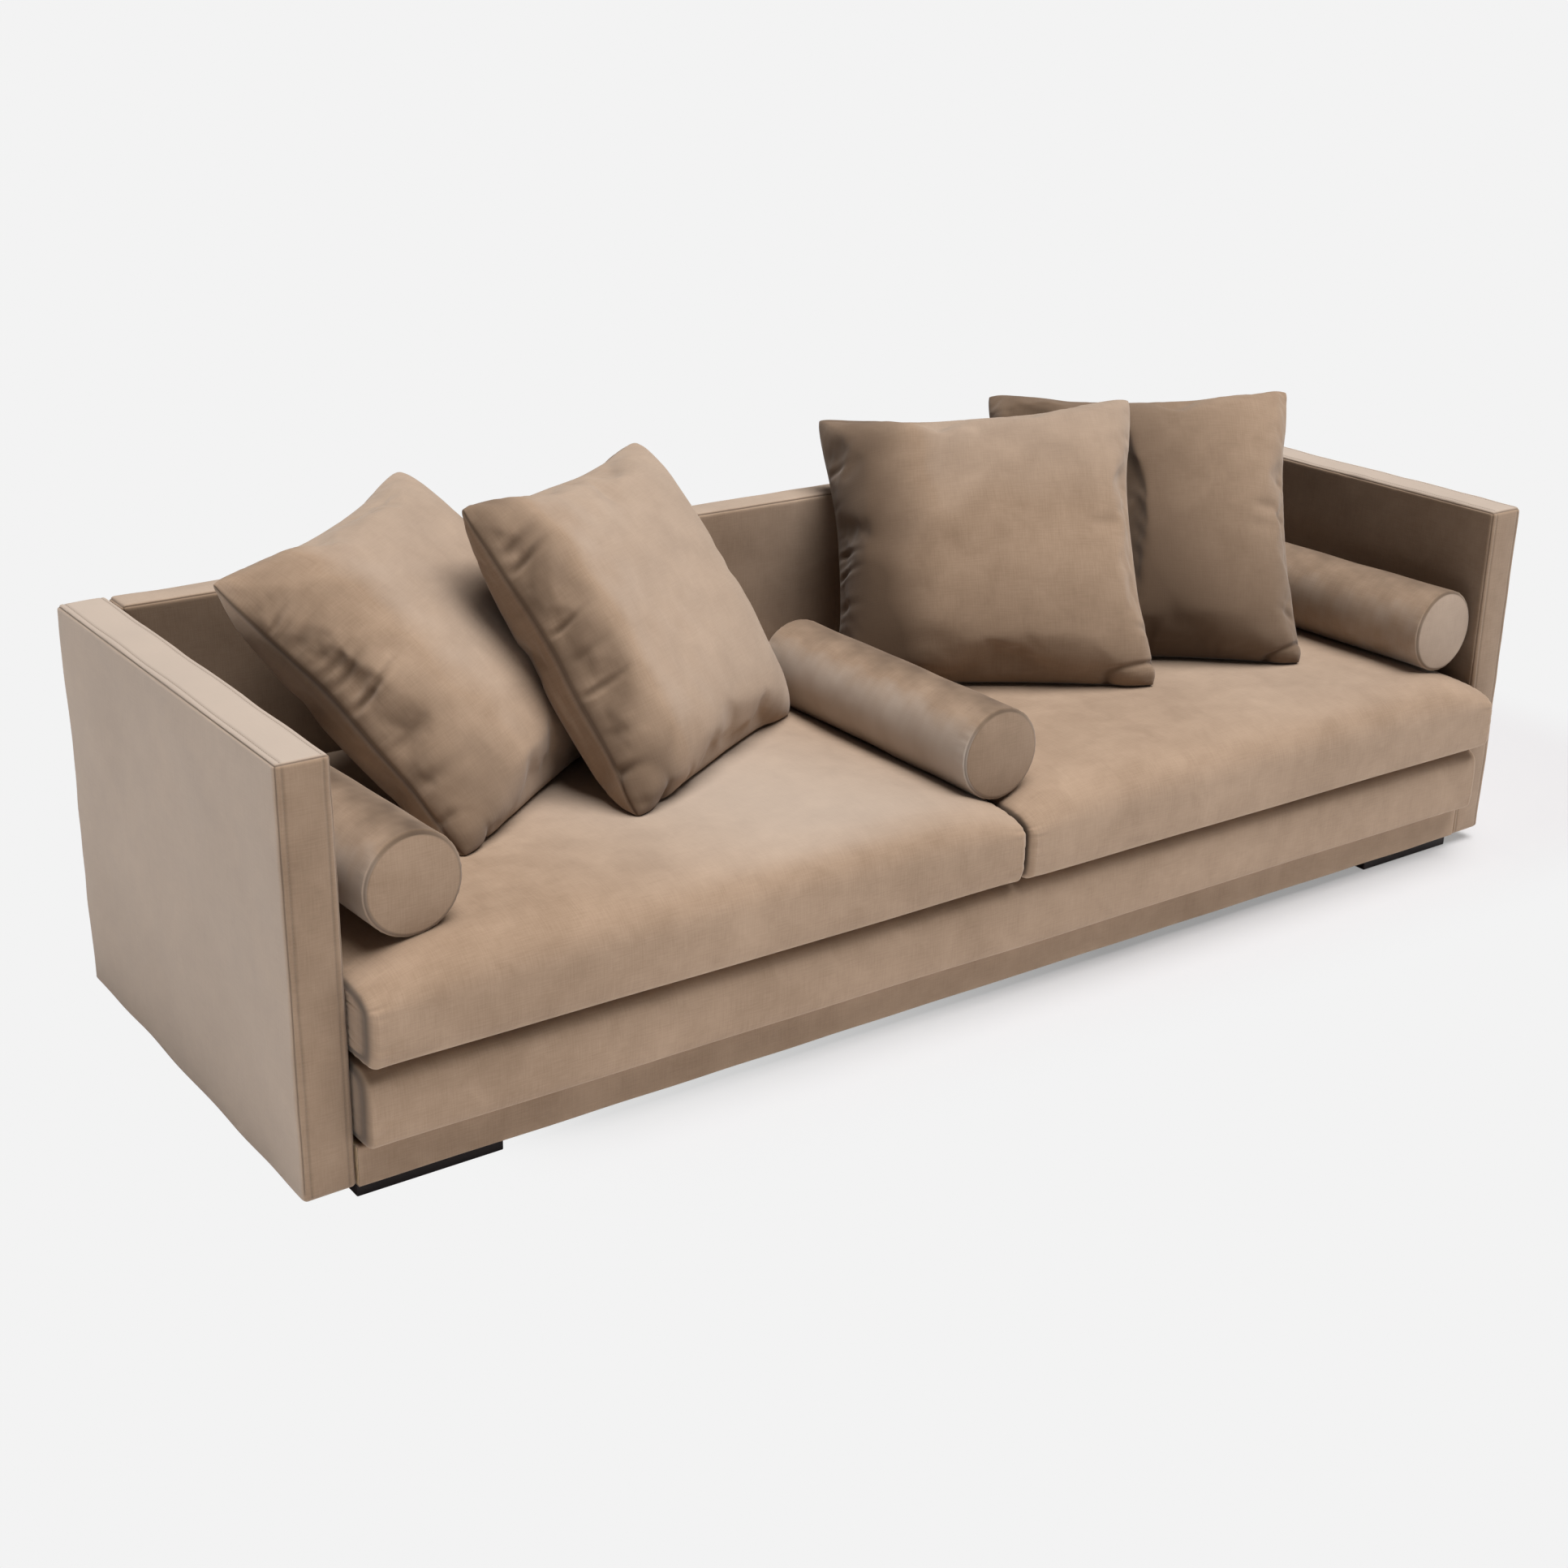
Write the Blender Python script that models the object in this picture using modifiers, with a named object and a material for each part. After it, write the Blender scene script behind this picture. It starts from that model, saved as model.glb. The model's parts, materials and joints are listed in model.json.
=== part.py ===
"""Velour sofa: slab arms and back, a deck pad on straps, loose seat and scatter cushions, and bolsters.

Metres, +Z up, -Y is the front. The origin is on the floor under the middle of the sofa.
Left and right are as seen by someone who stands in front of the sofa and looks at it.
"""
import math

import bmesh
import bpy
from mathutils import Euler, Matrix, Vector
from mathutils.bvhtree import BVHTree

# Overall sizes
WIDTH = 2.600
ARM_DEPTH = 0.870
ARM_TOP = 0.700
ARM_THICKNESS = 0.085
BACK_THICKNESS = 0.068
SEAT_OVERHANG = 0.072

# Cloth, padding and fits
CLOTH = 0.0020
PADDING = 0.0100
FIT = 0.0004
REST_GAP = 0.0005
EDGE_RADIUS = 0.009
EDGE_SEGMENTS = 3

# Base
FOOT_HEIGHT = 0.024
FOOT_LENGTH = 0.243
FOOT_DEPTH = 0.090
FOOT_RECESS = 0.0115
FOOT_END_GAP = 0.002
FOOT_CHAMFER = 0.002
RAIL_HEIGHT = 0.0625
RAIL_THICKNESS = 0.030
RAIL_PROUD = 0.004
RAIL_LIP = 0.018
STRAP_COUNT = 6
STRAP_WIDTH = 0.070
STRAP_THICKNESS = 0.0020
STRAP_SET_BACK = 0.010
BOLT_DIAMETER = 0.008
BOLT_LENGTH = 0.070
BOLT_HEAD_DIAMETER = 0.018
BOLT_HEAD_HEIGHT = 0.005
BOLT_SPACING = 0.480
BOLT_STEPS = 16

# Deck pad, one layer from arm to arm
DECK_HEIGHT = 0.1380
DECK_OVERHANG = 0.047
DECK_SIDE_GAP = 0.0010
DECK_EDGE = 0.012
DECK_OPENING_MARGIN = 0.120

# Seat cushions
SEAT_HEIGHT = 0.1715
SEAT_SIDE_GAP = 0.0015
SEAT_DROP = 0.050
SEAT_EDGE = 0.014
CROWN_POWER = 8
CROWN_STATIONS = (0.0, 0.5, 0.75, 0.88, 0.95)

# Padded sections: how square the front, the rear and the upright run of a section are
FRONT_POWER = 11.0
REAR_POWER = 24.0
UPRIGHT_POWER = 2.3
SECTION_POINTS = 20

# Bolsters: length, girth, and how each one lies
BOLSTER_LENGTH = 0.600
BOLSTER_DIAMETER = 0.163
BOLSTER_EDGE = 0.006
BOLSTER_SIDES = 24
BOLSTER_SET_BACK = 0.016
LEFT_BOLSTER_GAP = 0.038
RIGHT_BOLSTER_GAP = 0.003
CENTRE_BOLSTER_X = -0.002
LEFT_BOLSTER_TURN = math.radians(3.0)
CENTRE_BOLSTER_TURN = math.radians(0.0)
RIGHT_BOLSTER_TURN = math.radians(1.5)

# Scatter cushions: size, and where and how each one leans
SCATTER_WIDTH = 0.595
SCATTER_HEIGHT = 0.560
SCATTER_THICKNESS = 0.185
SCATTER_PINCH = 0.050
SCATTER_CELLS = 8
OUTER_LEFT_FROM_ARM = 0.417
OUTER_LEFT_FROM_BACK = 0.261
INNER_LEFT_FROM_MIDDLE = 0.430
INNER_LEFT_FROM_BACK = 0.311
INNER_RIGHT_FROM_MIDDLE = 0.383
INNER_RIGHT_FROM_BACK = 0.267
OUTER_RIGHT_FROM_ARM = 0.467
OUTER_RIGHT_FROM_BACK = 0.320
# name: (turn, lean and roll in degrees)
SCATTER_LEANS = {
    "scatter_1": (32.5, 44.3, 4.9),
    "scatter_2": (31.7, 33.9, -1.4),
    "scatter_3": (-38.0, 35.0, 5.5),
    "scatter_4": (-39.2, 35.3, 2.8),
}

# Zips
ZIP_WIDTH = 0.010
SEAT_ZIP_MARGIN = 0.150
SCATTER_ZIP_LENGTH = 0.300
BOLSTER_ZIP_LENGTH = 0.400

# Places that follow from the sizes
FRONT = -(ARM_DEPTH + SEAT_OVERHANG) / 2
REAR = -FRONT
ARM_FRONT = FRONT + SEAT_OVERHANG
ARM_INSIDE = WIDTH / 2 - ARM_THICKNESS
BACK_FRONT = REAR - BACK_THICKNESS
RAIL_BOTTOM = FOOT_HEIGHT + FIT + CLOTH + FIT
RAIL_TOP = RAIL_BOTTOM + RAIL_HEIGHT
RAIL_FRONT = ARM_FRONT - RAIL_PROUD + CLOTH + FIT
RAIL_REAR = BACK_FRONT - FIT
DECK_BOTTOM = RAIL_TOP + FIT + STRAP_THICKNESS + FIT
SEAT_BOTTOM = DECK_BOTTOM + DECK_HEIGHT + FIT
SEAT_HALF = ARM_INSIDE / 2 - SEAT_SIDE_GAP
SEAT_CENTRE = ARM_INSIDE / 2
BOLSTER_RADIUS = BOLSTER_DIAMETER / 2
PAST = 0.02
CLEAR_OF_ALL = WIDTH
EDGE_POINTS = 24

for old in list(bpy.data.objects):
    bpy.data.objects.remove(old, do_unlink=True)


def new_collection(name):
    group = bpy.data.collections.new(name)
    bpy.context.scene.collection.children.link(group)
    return group


PARTS = new_collection("velour_sofa")
CUTTERS = new_collection("cutters")


def finish(name, colour, roughness, metallic=0.0):
    material = bpy.data.materials.new(name)
    material.use_nodes = True
    shader = material.node_tree.nodes["Principled BSDF"]
    shader.inputs["Base Color"].default_value = (*colour, 1.0)
    shader.inputs["Roughness"].default_value = roughness
    shader.inputs["Metallic"].default_value = metallic
    return material


VELOUR = finish("taupe_velour", (0.36, 0.27, 0.20), 0.85)
FOAM = finish("cream_foam", (0.78, 0.72, 0.58), 0.90)
TIMBER = finish("pale_timber", (0.60, 0.44, 0.27), 0.65)
STAINED_WOOD = finish("stained_wood", (0.020, 0.014, 0.012), 0.45)
BLACK_CLOTH = finish("black_cloth", (0.03, 0.03, 0.03), 0.95)
ZIP_TAPE = finish("zip_tape", (0.16, 0.12, 0.09), 0.60)
ZINC = finish("zinc_steel", (0.62, 0.63, 0.65), 0.35, 1.0)


def add(name, mesh, material=None, parent=None, location=(0.0, 0.0, 0.0)):
    """Link a mesh as a part, or as a hidden cutter when it has no material."""
    thing = bpy.data.objects.new(name, mesh)
    thing.location = location
    thing.parent = parent
    if material is None:
        CUTTERS.objects.link(thing)
        thing.hide_render = True
        thing.display_type = "WIRE"
    else:
        PARTS.objects.link(thing)
        mesh.materials.append(material)
    return thing


def to_mesh(shape, name, smooth=False):
    mesh = bpy.data.meshes.new(name)
    shape.to_mesh(mesh)
    shape.free()
    if smooth:
        mesh.shade_smooth()
        mesh.set_sharp_from_angle(angle=math.radians(40))
    return mesh


def cut(target, tool, operation="DIFFERENCE"):
    boolean = target.modifiers.new(tool.name, "BOOLEAN")
    boolean.operation = operation
    boolean.object = tool


def block(name, low, high, material=None, parent=None, radius=0.0, open_bottom=False):
    """A box between two corners, with rounded edges; an open-bottomed cover keeps its lower edges square."""
    low, high = Vector(low), Vector(high)
    shape = bmesh.new()
    bmesh.ops.create_cube(shape, size=1.0)
    bmesh.ops.scale(shape, vec=high - low, verts=shape.verts)
    if radius:
        floor = min(v.co.z for v in shape.verts) + radius / 2
        edges = [e for e in shape.edges if not open_bottom or any(v.co.z > floor for v in e.verts)]
        bmesh.ops.bevel(shape, geom=edges, offset=radius, segments=EDGE_SEGMENTS, profile=0.5, affect="EDGES")
    return add(name, to_mesh(shape, name), material, parent, (low + high) / 2)


def empty(name, location, rotation=(0.0, 0.0, 0.0)):
    hub = bpy.data.objects.new(name, None)
    hub.location = location
    hub.rotation_euler = rotation
    PARTS.objects.link(hub)
    return hub


def sleeve(name, low, high, wall, material, radius=0.0):
    """A cover or padding over a slab: a box open underneath, with its walls `wall` thick."""
    low, high = Vector(low), Vector(high)
    skin = block(name, low, high, material, radius=radius, open_bottom=True)
    inside_low = low + Vector((wall, wall, -PAST))
    inside_high = high - Vector((wall, wall, wall))
    inner_radius = max(0.0, radius - wall)
    cut(skin, block(name + "_hollow", inside_low, inside_high, radius=inner_radius, open_bottom=True))
    return skin


def slab(name, low, high):
    """An upholstered slab: timber frame, foam padding round it and a velour cover, all open underneath."""
    low, high = Vector(low), Vector(high)
    layer = CLOTH + FIT
    shrink = Vector((layer, layer, 0.0))
    cover = sleeve(f"{name}_cover", low, high, CLOTH, VELOUR, EDGE_RADIUS)
    pad_low = low + shrink
    pad_high = high - shrink - Vector((0.0, 0.0, layer))
    padding = sleeve(f"{name}_padding", pad_low, pad_high, PADDING, FOAM, EDGE_RADIUS - CLOTH)
    layer = PADDING + FIT
    shrink = Vector((layer, layer, 0.0))
    frame = block(f"{name}_frame", pad_low + shrink, pad_high - shrink - Vector((0.0, 0.0, layer)), TIMBER)
    return cover, padding, frame


# Arms and back: the back stands between the arms
ARMS = {}
for side, sign in (("left", -1), ("right", 1)):
    ends = sorted((sign * WIDTH / 2, sign * ARM_INSIDE))
    arm_low = (ends[0], ARM_FRONT, FOOT_HEIGHT)
    arm_high = (ends[1], REAR, ARM_TOP)
    ARMS[side] = slab(f"{side}_arm", arm_low, arm_high)
BACK_END = ARM_INSIDE - FIT
slab("back", (-BACK_END, BACK_FRONT, FOOT_HEIGHT), (BACK_END, REAR, ARM_TOP))

# Base frame: four rails and a stretcher, with the front rail covered in velour
RAIL_END = ARM_INSIDE - FIT
FRONT_RAIL_BACK = RAIL_FRONT + RAIL_THICKNESS
REAR_RAIL_FRONT = RAIL_REAR - RAIL_THICKNESS
SIDE_RAIL_FRONT = FRONT_RAIL_BACK + FIT
SIDE_RAIL_REAR = REAR_RAIL_FRONT - FIT
block("front_rail", (-RAIL_END, RAIL_FRONT, RAIL_BOTTOM), (RAIL_END, FRONT_RAIL_BACK, RAIL_TOP), TIMBER)
block("rear_rail", (-RAIL_END, REAR_RAIL_FRONT, RAIL_BOTTOM), (RAIL_END, RAIL_REAR, RAIL_TOP), TIMBER)
SIDE_RAILS = {}
for side, sign in (("left", -1), ("right", 1)):
    ends = sorted((sign * RAIL_END, sign * (RAIL_END - RAIL_THICKNESS)))
    rail_low = (ends[0], SIDE_RAIL_FRONT, RAIL_BOTTOM)
    rail_high = (ends[1], SIDE_RAIL_REAR, RAIL_TOP)
    SIDE_RAILS[side] = block(f"{side}_side_rail", rail_low, rail_high, TIMBER)
HALF_STRETCHER = RAIL_THICKNESS / 2
block("centre_stretcher", (-HALF_STRETCHER, SIDE_RAIL_FRONT, RAIL_BOTTOM),
      (HALF_STRETCHER, SIDE_RAIL_REAR, RAIL_TOP), TIMBER)

COVER_FRONT = ARM_FRONT - RAIL_PROUD
LIP_END = RAIL_FRONT + RAIL_LIP
rail_cover = block("front_rail_cover", (-RAIL_END, COVER_FRONT, RAIL_BOTTOM - FIT - CLOTH),
                   (RAIL_END, LIP_END, RAIL_TOP), VELOUR)
cut(rail_cover, block("front_rail_space", (-WIDTH, RAIL_FRONT - FIT, RAIL_BOTTOM - FIT),
                      (WIDTH, LIP_END + PAST, RAIL_TOP + PAST)))
block("dust_cover", (-RAIL_END, LIP_END + FIT, RAIL_BOTTOM - FIT - CLOTH),
      (RAIL_END, RAIL_REAR, RAIL_BOTTOM - FIT), BLACK_CLOTH)

# Elastic straps from the front rail to the rear rail carry the deck pad
STRAP_PITCH = 2 * RAIL_END / STRAP_COUNT
for number in range(STRAP_COUNT):
    middle = -RAIL_END + (number + 0.5) * STRAP_PITCH
    block(f"webbing_strap_{number + 1}",
          (middle - STRAP_WIDTH / 2, RAIL_FRONT + STRAP_SET_BACK, RAIL_TOP + FIT),
          (middle + STRAP_WIDTH / 2, RAIL_REAR - STRAP_SET_BACK, DECK_BOTTOM - FIT), BLACK_CLOTH)

# Block feet under the corners of the base
for side, sign in (("left", -1), ("right", 1)):
    ends = sorted((sign * (ARM_INSIDE - FOOT_END_GAP), sign * (ARM_INSIDE - FOOT_END_GAP - FOOT_LENGTH)))
    front_foot = ARM_FRONT + FOOT_RECESS
    rear_foot = RAIL_REAR - FOOT_DEPTH
    for place, start in (("front", front_foot), ("rear", rear_foot)):
        foot_low = (ends[0], start, 0.0)
        foot_high = (ends[1], start + FOOT_DEPTH, FOOT_HEIGHT)
        block(f"{place}_{side}_foot", foot_low, foot_high, STAINED_WOOD, radius=FOOT_CHAMFER)


def bolt_mesh(name):
    """A turned bolt along +Z: a profile for a Screw modifier, from the head's axis down to the tip."""
    outline = [
        (0.0, 0.0),
        (BOLT_HEAD_DIAMETER / 2, 0.0),
        (BOLT_HEAD_DIAMETER / 2, -BOLT_HEAD_HEIGHT),
        (BOLT_DIAMETER / 2, -BOLT_HEAD_HEIGHT),
        (BOLT_DIAMETER / 2, -BOLT_HEAD_HEIGHT - BOLT_LENGTH),
        (0.0, -BOLT_HEAD_HEIGHT - BOLT_LENGTH),
    ]
    shape = bmesh.new()
    points = [shape.verts.new((r, 0.0, z)) for r, z in outline]
    for first, second in zip(points, points[1:]):
        shape.edges.new((first, second))
    return to_mesh(shape, name)


def bolt_hole(name, parent):
    shape = bmesh.new()
    radius = BOLT_DIAMETER / 2 + FIT
    reach = BOLT_LENGTH + PAST
    bmesh.ops.create_cone(
        shape, cap_ends=True, segments=BOLT_STEPS, radius1=radius, radius2=radius, depth=reach)
    hole = add(name, to_mesh(shape, name), parent=parent)
    hole.location.z = -BOLT_HEAD_HEIGHT - BOLT_LENGTH - FIT + reach / 2
    return hole


# Bolts from inside the side rails hold the arms
BOLT_Y = (SIDE_RAIL_FRONT + SIDE_RAIL_REAR) / 2
BOLT_Z = (RAIL_BOTTOM + RAIL_TOP) / 2
for side, sign in (("left", -1), ("right", 1)):
    for place, along in (("front", -1), ("rear", 1)):
        head = sign * (RAIL_END - RAIL_THICKNESS - FIT - BOLT_HEAD_HEIGHT)
        where = (head, BOLT_Y + along * BOLT_SPACING / 2, BOLT_Z)
        hub = empty(f"{place}_{side}_bolt_axis", where, (0.0, -sign * math.pi / 2, 0.0))
        bolt = add(f"{place}_{side}_arm_bolt", bolt_mesh(f"{place}_{side}_arm_bolt"), ZINC, hub)
        screw = bolt.modifiers.new("turn", "SCREW")
        screw.steps = BOLT_STEPS
        screw.render_steps = BOLT_STEPS
        screw.use_merge_vertices = True
        screw.merge_threshold = 0.0001
        hole = bolt_hole(f"{place}_{side}_bolt_hole", hub)
        for drilled in (SIDE_RAILS[side], *ARMS[side]):
            cut(drilled, hole)


def swell(value, power):
    return math.copysign(abs(value) ** (2.0 / power), value)


def section_point(angle):
    """Where a padded section's outline is at an angle, as shares of its half depth and half height."""
    out = math.cos(angle)
    return swell(out, FRONT_POWER if out < 0 else REAR_POWER), swell(math.sin(angle), UPRIGHT_POWER)


def padded_roll(name, size, inset, edge, drop=0.0, stations=(0.0,), points=SECTION_POINTS, square=True):
    """A padded length along X: a rounded section, bullnosed at the front, whose crown drops at both ends.

    `inset` shrinks it all round, for the hollow inside a cover and the filling inside that.
    """
    half = [side / 2 - inset for side in size]
    shape = bmesh.new()
    bmesh.ops.create_cone(shape, cap_ends=True, segments=points, radius1=1.0, radius2=1.0, depth=2.0)
    rings = {s * t for t in stations for s in (-1, 1)}
    rings |= {s * (1.0 - edge / half[0]) for s in (-1, 1)}
    for ring in sorted(rings):
        everything = shape.verts[:] + shape.edges[:] + shape.faces[:]
        bmesh.ops.bisect_plane(shape, geom=everything, plane_co=(0, 0, ring), plane_no=(0, 0, 1))
    for vert in shape.verts:
        along = vert.co.z
        angle = math.atan2(vert.co.y, vert.co.x)
        out, up = section_point(angle) if square else (math.cos(angle), math.sin(angle))
        tuck = edge if abs(along) > 1.0 - edge / half[0] / 2 else 0.0
        rise = half[2] - tuck
        lost = drop * min(1.0, abs(along)) ** CROWN_POWER
        height = up * rise if up < 0 else up * rise - lost * up
        vert.co = (along * half[0], out * (half[1] - tuck), height)
    bmesh.ops.triangulate(shape, faces=shape.faces, quad_method="FIXED")
    return to_mesh(shape, name, smooth=True)


def pillow_point(u, v, inset):
    """A point of a knife-edged cushion's front half: crowned, with its sides drawn in between the corners."""
    width = SCATTER_WIDTH / 2 - inset
    height = SCATTER_HEIGHT / 2 - inset
    bulge = SCATTER_THICKNESS / 2 - inset
    x = width * u * (1.0 - SCATTER_PINCH * (1.0 - v * v))
    y = height * v * (1.0 - SCATTER_PINCH * (1.0 - u * u))
    z = bulge * math.sqrt(max(0.0, (1.0 - u * u) * (1.0 - v * v)))
    return Vector((x, y, z))


def pillow(name, inset):
    """A cushion standing on its lower edge in its own XY plane; its halves meet in a seam all round."""
    shape = bmesh.new()
    bmesh.ops.create_grid(shape, x_segments=SCATTER_CELLS, y_segments=SCATTER_CELLS, size=1.0)
    for face in list(shape.faces):
        ranked = sorted(face.verts, key=lambda v: abs(v.co.x) + abs(v.co.y))
        bmesh.utils.face_split(face, ranked[-1], ranked[0])
    for vert in shape.verts:
        u = math.sin(vert.co.x * math.pi / 2)
        v = math.sin(vert.co.y * math.pi / 2)
        vert.co = pillow_point(u, v, inset)
    front_half = shape.verts[:] + shape.edges[:] + shape.faces[:]
    bmesh.ops.mirror(shape, geom=front_half, axis="Z", merge_dist=0.0001)
    bmesh.ops.recalc_face_normals(shape, faces=shape.faces)
    return to_mesh(shape, name, smooth=True)


def cushion(name, form, zip_low, zip_high, hub, filling):
    """A loose cushion: a velour cover with a zip, and the filling inside it."""
    cover = add(f"{name}_cover", form(f"{name}_cover", 0.0), VELOUR, hub)
    hollow = add(f"{name}_hollow", form(f"{name}_hollow", CLOTH), parent=hub)
    outline = add(f"{name}_outline", form(f"{name}_outline", 0.0), parent=hub)
    add(f"{name}_{filling}", form(f"{name}_{filling}", CLOTH + FIT), FOAM, hub)
    grow = Vector((FIT, FIT, FIT))
    slot = block(f"{name}_zip_slot", Vector(zip_low) - grow, Vector(zip_high) + grow, parent=hub)
    cut(cover, hollow)
    cut(cover, slot)
    zipper = block(f"{name}_zip", zip_low, zip_high, ZIP_TAPE, hub)
    cut(zipper, outline, "INTERSECT")
    cut(zipper, hollow)


# Deck pad: foam in a velour cover that is open underneath, over the straps
DECK_SIZE = (2 * (ARM_INSIDE - DECK_SIDE_GAP), BACK_FRONT - FIT - (ARM_FRONT - DECK_OVERHANG), DECK_HEIGHT)
DECK_MIDDLE = (0.0, (BACK_FRONT - FIT + ARM_FRONT - DECK_OVERHANG) / 2, DECK_BOTTOM + DECK_HEIGHT / 2)
deck_hub = empty("deck", DECK_MIDDLE)
deck_cover = add("deck_cover", padded_roll("deck_cover", DECK_SIZE, 0.0, DECK_EDGE), VELOUR, deck_hub)
deck_hollow = add("deck_hollow", padded_roll("deck_hollow", DECK_SIZE, CLOTH, DECK_EDGE), parent=deck_hub)
add("deck_foam", padded_roll("deck_foam", DECK_SIZE, CLOTH + FIT, DECK_EDGE), FOAM, deck_hub)
opening = Vector((DECK_SIZE[0] / 2 - DECK_OPENING_MARGIN, DECK_SIZE[1] / 2 - DECK_OPENING_MARGIN, 0.0))
deck_floor = Vector((0.0, 0.0, DECK_SIZE[2] / 2))
cut(deck_cover, deck_hollow)
cut(deck_cover, block("deck_opening", -opening - deck_floor - Vector((0.0, 0.0, PAST)),
                      opening - deck_floor + Vector((0.0, 0.0, PAST)), parent=deck_hub))

# Seat cushions lie side by side on the deck
SEAT_SIZE = (2 * SEAT_HALF, BACK_FRONT - FIT - FRONT, SEAT_HEIGHT)
SEAT_MIDDLE_Y = (BACK_FRONT - FIT + FRONT) / 2
SEAT_ZIP_HALF = SEAT_SIZE[0] / 2 - SEAT_ZIP_MARGIN
SEAT_MIDDLE_Z = SEAT_BOTTOM + SEAT_HEIGHT / 2
SEAT_PLACES = {
    "left": (-SEAT_CENTRE, SEAT_MIDDLE_Y, SEAT_MIDDLE_Z),
    "right": (SEAT_CENTRE, SEAT_MIDDLE_Y, SEAT_MIDDLE_Z),
}


def seat_form(name, inset):
    return padded_roll(name, SEAT_SIZE, inset, SEAT_EDGE, SEAT_DROP, CROWN_STATIONS)


for side, place in SEAT_PLACES.items():
    hub = empty(f"{side}_seat", place)
    low = (-SEAT_ZIP_HALF, 0.0, -ZIP_WIDTH / 2)
    high = (SEAT_ZIP_HALF, SEAT_SIZE[1], ZIP_WIDTH / 2)
    cushion(f"{side}_seat", seat_form, low, high, hub, "foam")


def edge_points(mesh, place):
    """Points along all the edges of a mesh that is put in its place."""
    for edge in mesh.edges:
        first, second = (mesh.vertices[number].co for number in edge.vertices)
        for step in range(EDGE_POINTS + 1):
            yield place @ first.lerp(second, step / EDGE_POINTS)


def surface(mesh, place):
    return BVHTree.FromPolygons([place @ v.co for v in mesh.vertices], [p.vertices[:] for p in mesh.polygons])


SEAT_SURFACES = []
SEAT_EDGE_POINTS = []
for side, place in SEAT_PLACES.items():
    outside = bpy.data.objects[f"{side}_seat_outline"].data
    shift = Matrix.Translation(place)
    SEAT_SURFACES.append(surface(outside, shift))
    SEAT_EDGE_POINTS += edge_points(outside, shift)


def rest_height(mesh, x, y, rotation):
    """How high a thing lies when it rests on the seats, from its edges over them and theirs under it."""
    place = Matrix.Translation((x, y, 0.0)) @ rotation.to_4x4()
    underside = surface(mesh, place)
    rise = 0.0
    for point in edge_points(mesh, place):
        for seat in SEAT_SURFACES:
            hit = seat.ray_cast((point.x, point.y, CLEAR_OF_ALL), (0.0, 0.0, -1.0))[0]
            rise = max(rise, hit.z - point.z if hit else 0.0)
    for point in SEAT_EDGE_POINTS:
        hit = underside.ray_cast((point.x, point.y, -CLEAR_OF_ALL), (0.0, 0.0, 1.0))[0]
        rise = max(rise, point.z - hit.z if hit else 0.0)
    return rise + REST_GAP


# Bolsters lie front to back: one against each arm and one over the join of the seat cushions
BOLSTER_SIZE = (BOLSTER_LENGTH, BOLSTER_DIAMETER, BOLSTER_DIAMETER)


def bolster_form(name, inset):
    return padded_roll(name, BOLSTER_SIZE, inset, BOLSTER_EDGE, points=BOLSTER_SIDES, square=False)


BOLSTER = bolster_form("bolster_outside", 0.0)
BOLSTERS = {
    "left_bolster": (-ARM_INSIDE + LEFT_BOLSTER_GAP + BOLSTER_RADIUS, LEFT_BOLSTER_TURN),
    "centre_bolster": (CENTRE_BOLSTER_X, CENTRE_BOLSTER_TURN),
    "right_bolster": (ARM_INSIDE - RIGHT_BOLSTER_GAP - BOLSTER_RADIUS, RIGHT_BOLSTER_TURN),
}
for name, (front_x, turn) in BOLSTERS.items():
    x = front_x - BOLSTER_LENGTH / 2 * math.sin(turn)
    y = ARM_FRONT + BOLSTER_SET_BACK + BOLSTER_LENGTH / 2 * math.cos(turn)
    rotation = Matrix.Rotation(turn + math.pi / 2, 3, "Z")
    hub = empty(name, (x, y, rest_height(BOLSTER, x, y, rotation)), rotation.to_euler())
    low = (-BOLSTER_ZIP_LENGTH / 2, -ZIP_WIDTH / 2, -BOLSTER_DIAMETER)
    high = (BOLSTER_ZIP_LENGTH / 2, ZIP_WIDTH / 2, 0.0)
    cushion(name, bolster_form, low, high, hub, "core")


def lean(turn, tilt, roll):
    """Rotation of a cushion that faces the front, turned about Z, leaned back and rolled in its own plane."""
    upright = Euler((math.pi / 2 - tilt, 0.0, turn), "XYZ").to_matrix()
    return upright @ Matrix.Rotation(roll, 3, "Z")


# Scatter cushions stand on the seats and lean back
PILLOW = pillow("pillow_outside", 0.0)
SCATTER_PLACES = {
    "scatter_1": (OUTER_LEFT_FROM_ARM - ARM_INSIDE, BACK_FRONT - OUTER_LEFT_FROM_BACK),
    "scatter_2": (-INNER_LEFT_FROM_MIDDLE, BACK_FRONT - INNER_LEFT_FROM_BACK),
    "scatter_3": (INNER_RIGHT_FROM_MIDDLE, BACK_FRONT - INNER_RIGHT_FROM_BACK),
    "scatter_4": (ARM_INSIDE - OUTER_RIGHT_FROM_ARM, BACK_FRONT - OUTER_RIGHT_FROM_BACK),
}
for name, (x, y) in SCATTER_PLACES.items():
    rotation = lean(*(math.radians(angle) for angle in SCATTER_LEANS[name]))
    hub = empty(name, (x, y, rest_height(PILLOW, x, y, rotation)), rotation.to_euler())
    low = (-SCATTER_ZIP_LENGTH / 2, -SCATTER_HEIGHT, -ZIP_WIDTH / 2)
    high = (SCATTER_ZIP_LENGTH / 2, 0.0, ZIP_WIDTH / 2)
    cushion(name, pillow, low, high, hub, "filling")
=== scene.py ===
"""Looks of a low velour sofa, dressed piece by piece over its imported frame.

Metres, +Z up, the front faces -Y. Left and right are as seen by someone who faces the front.
"""
import json
import math

import bpy
import numpy as np
from mathutils import Matrix, Vector


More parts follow.
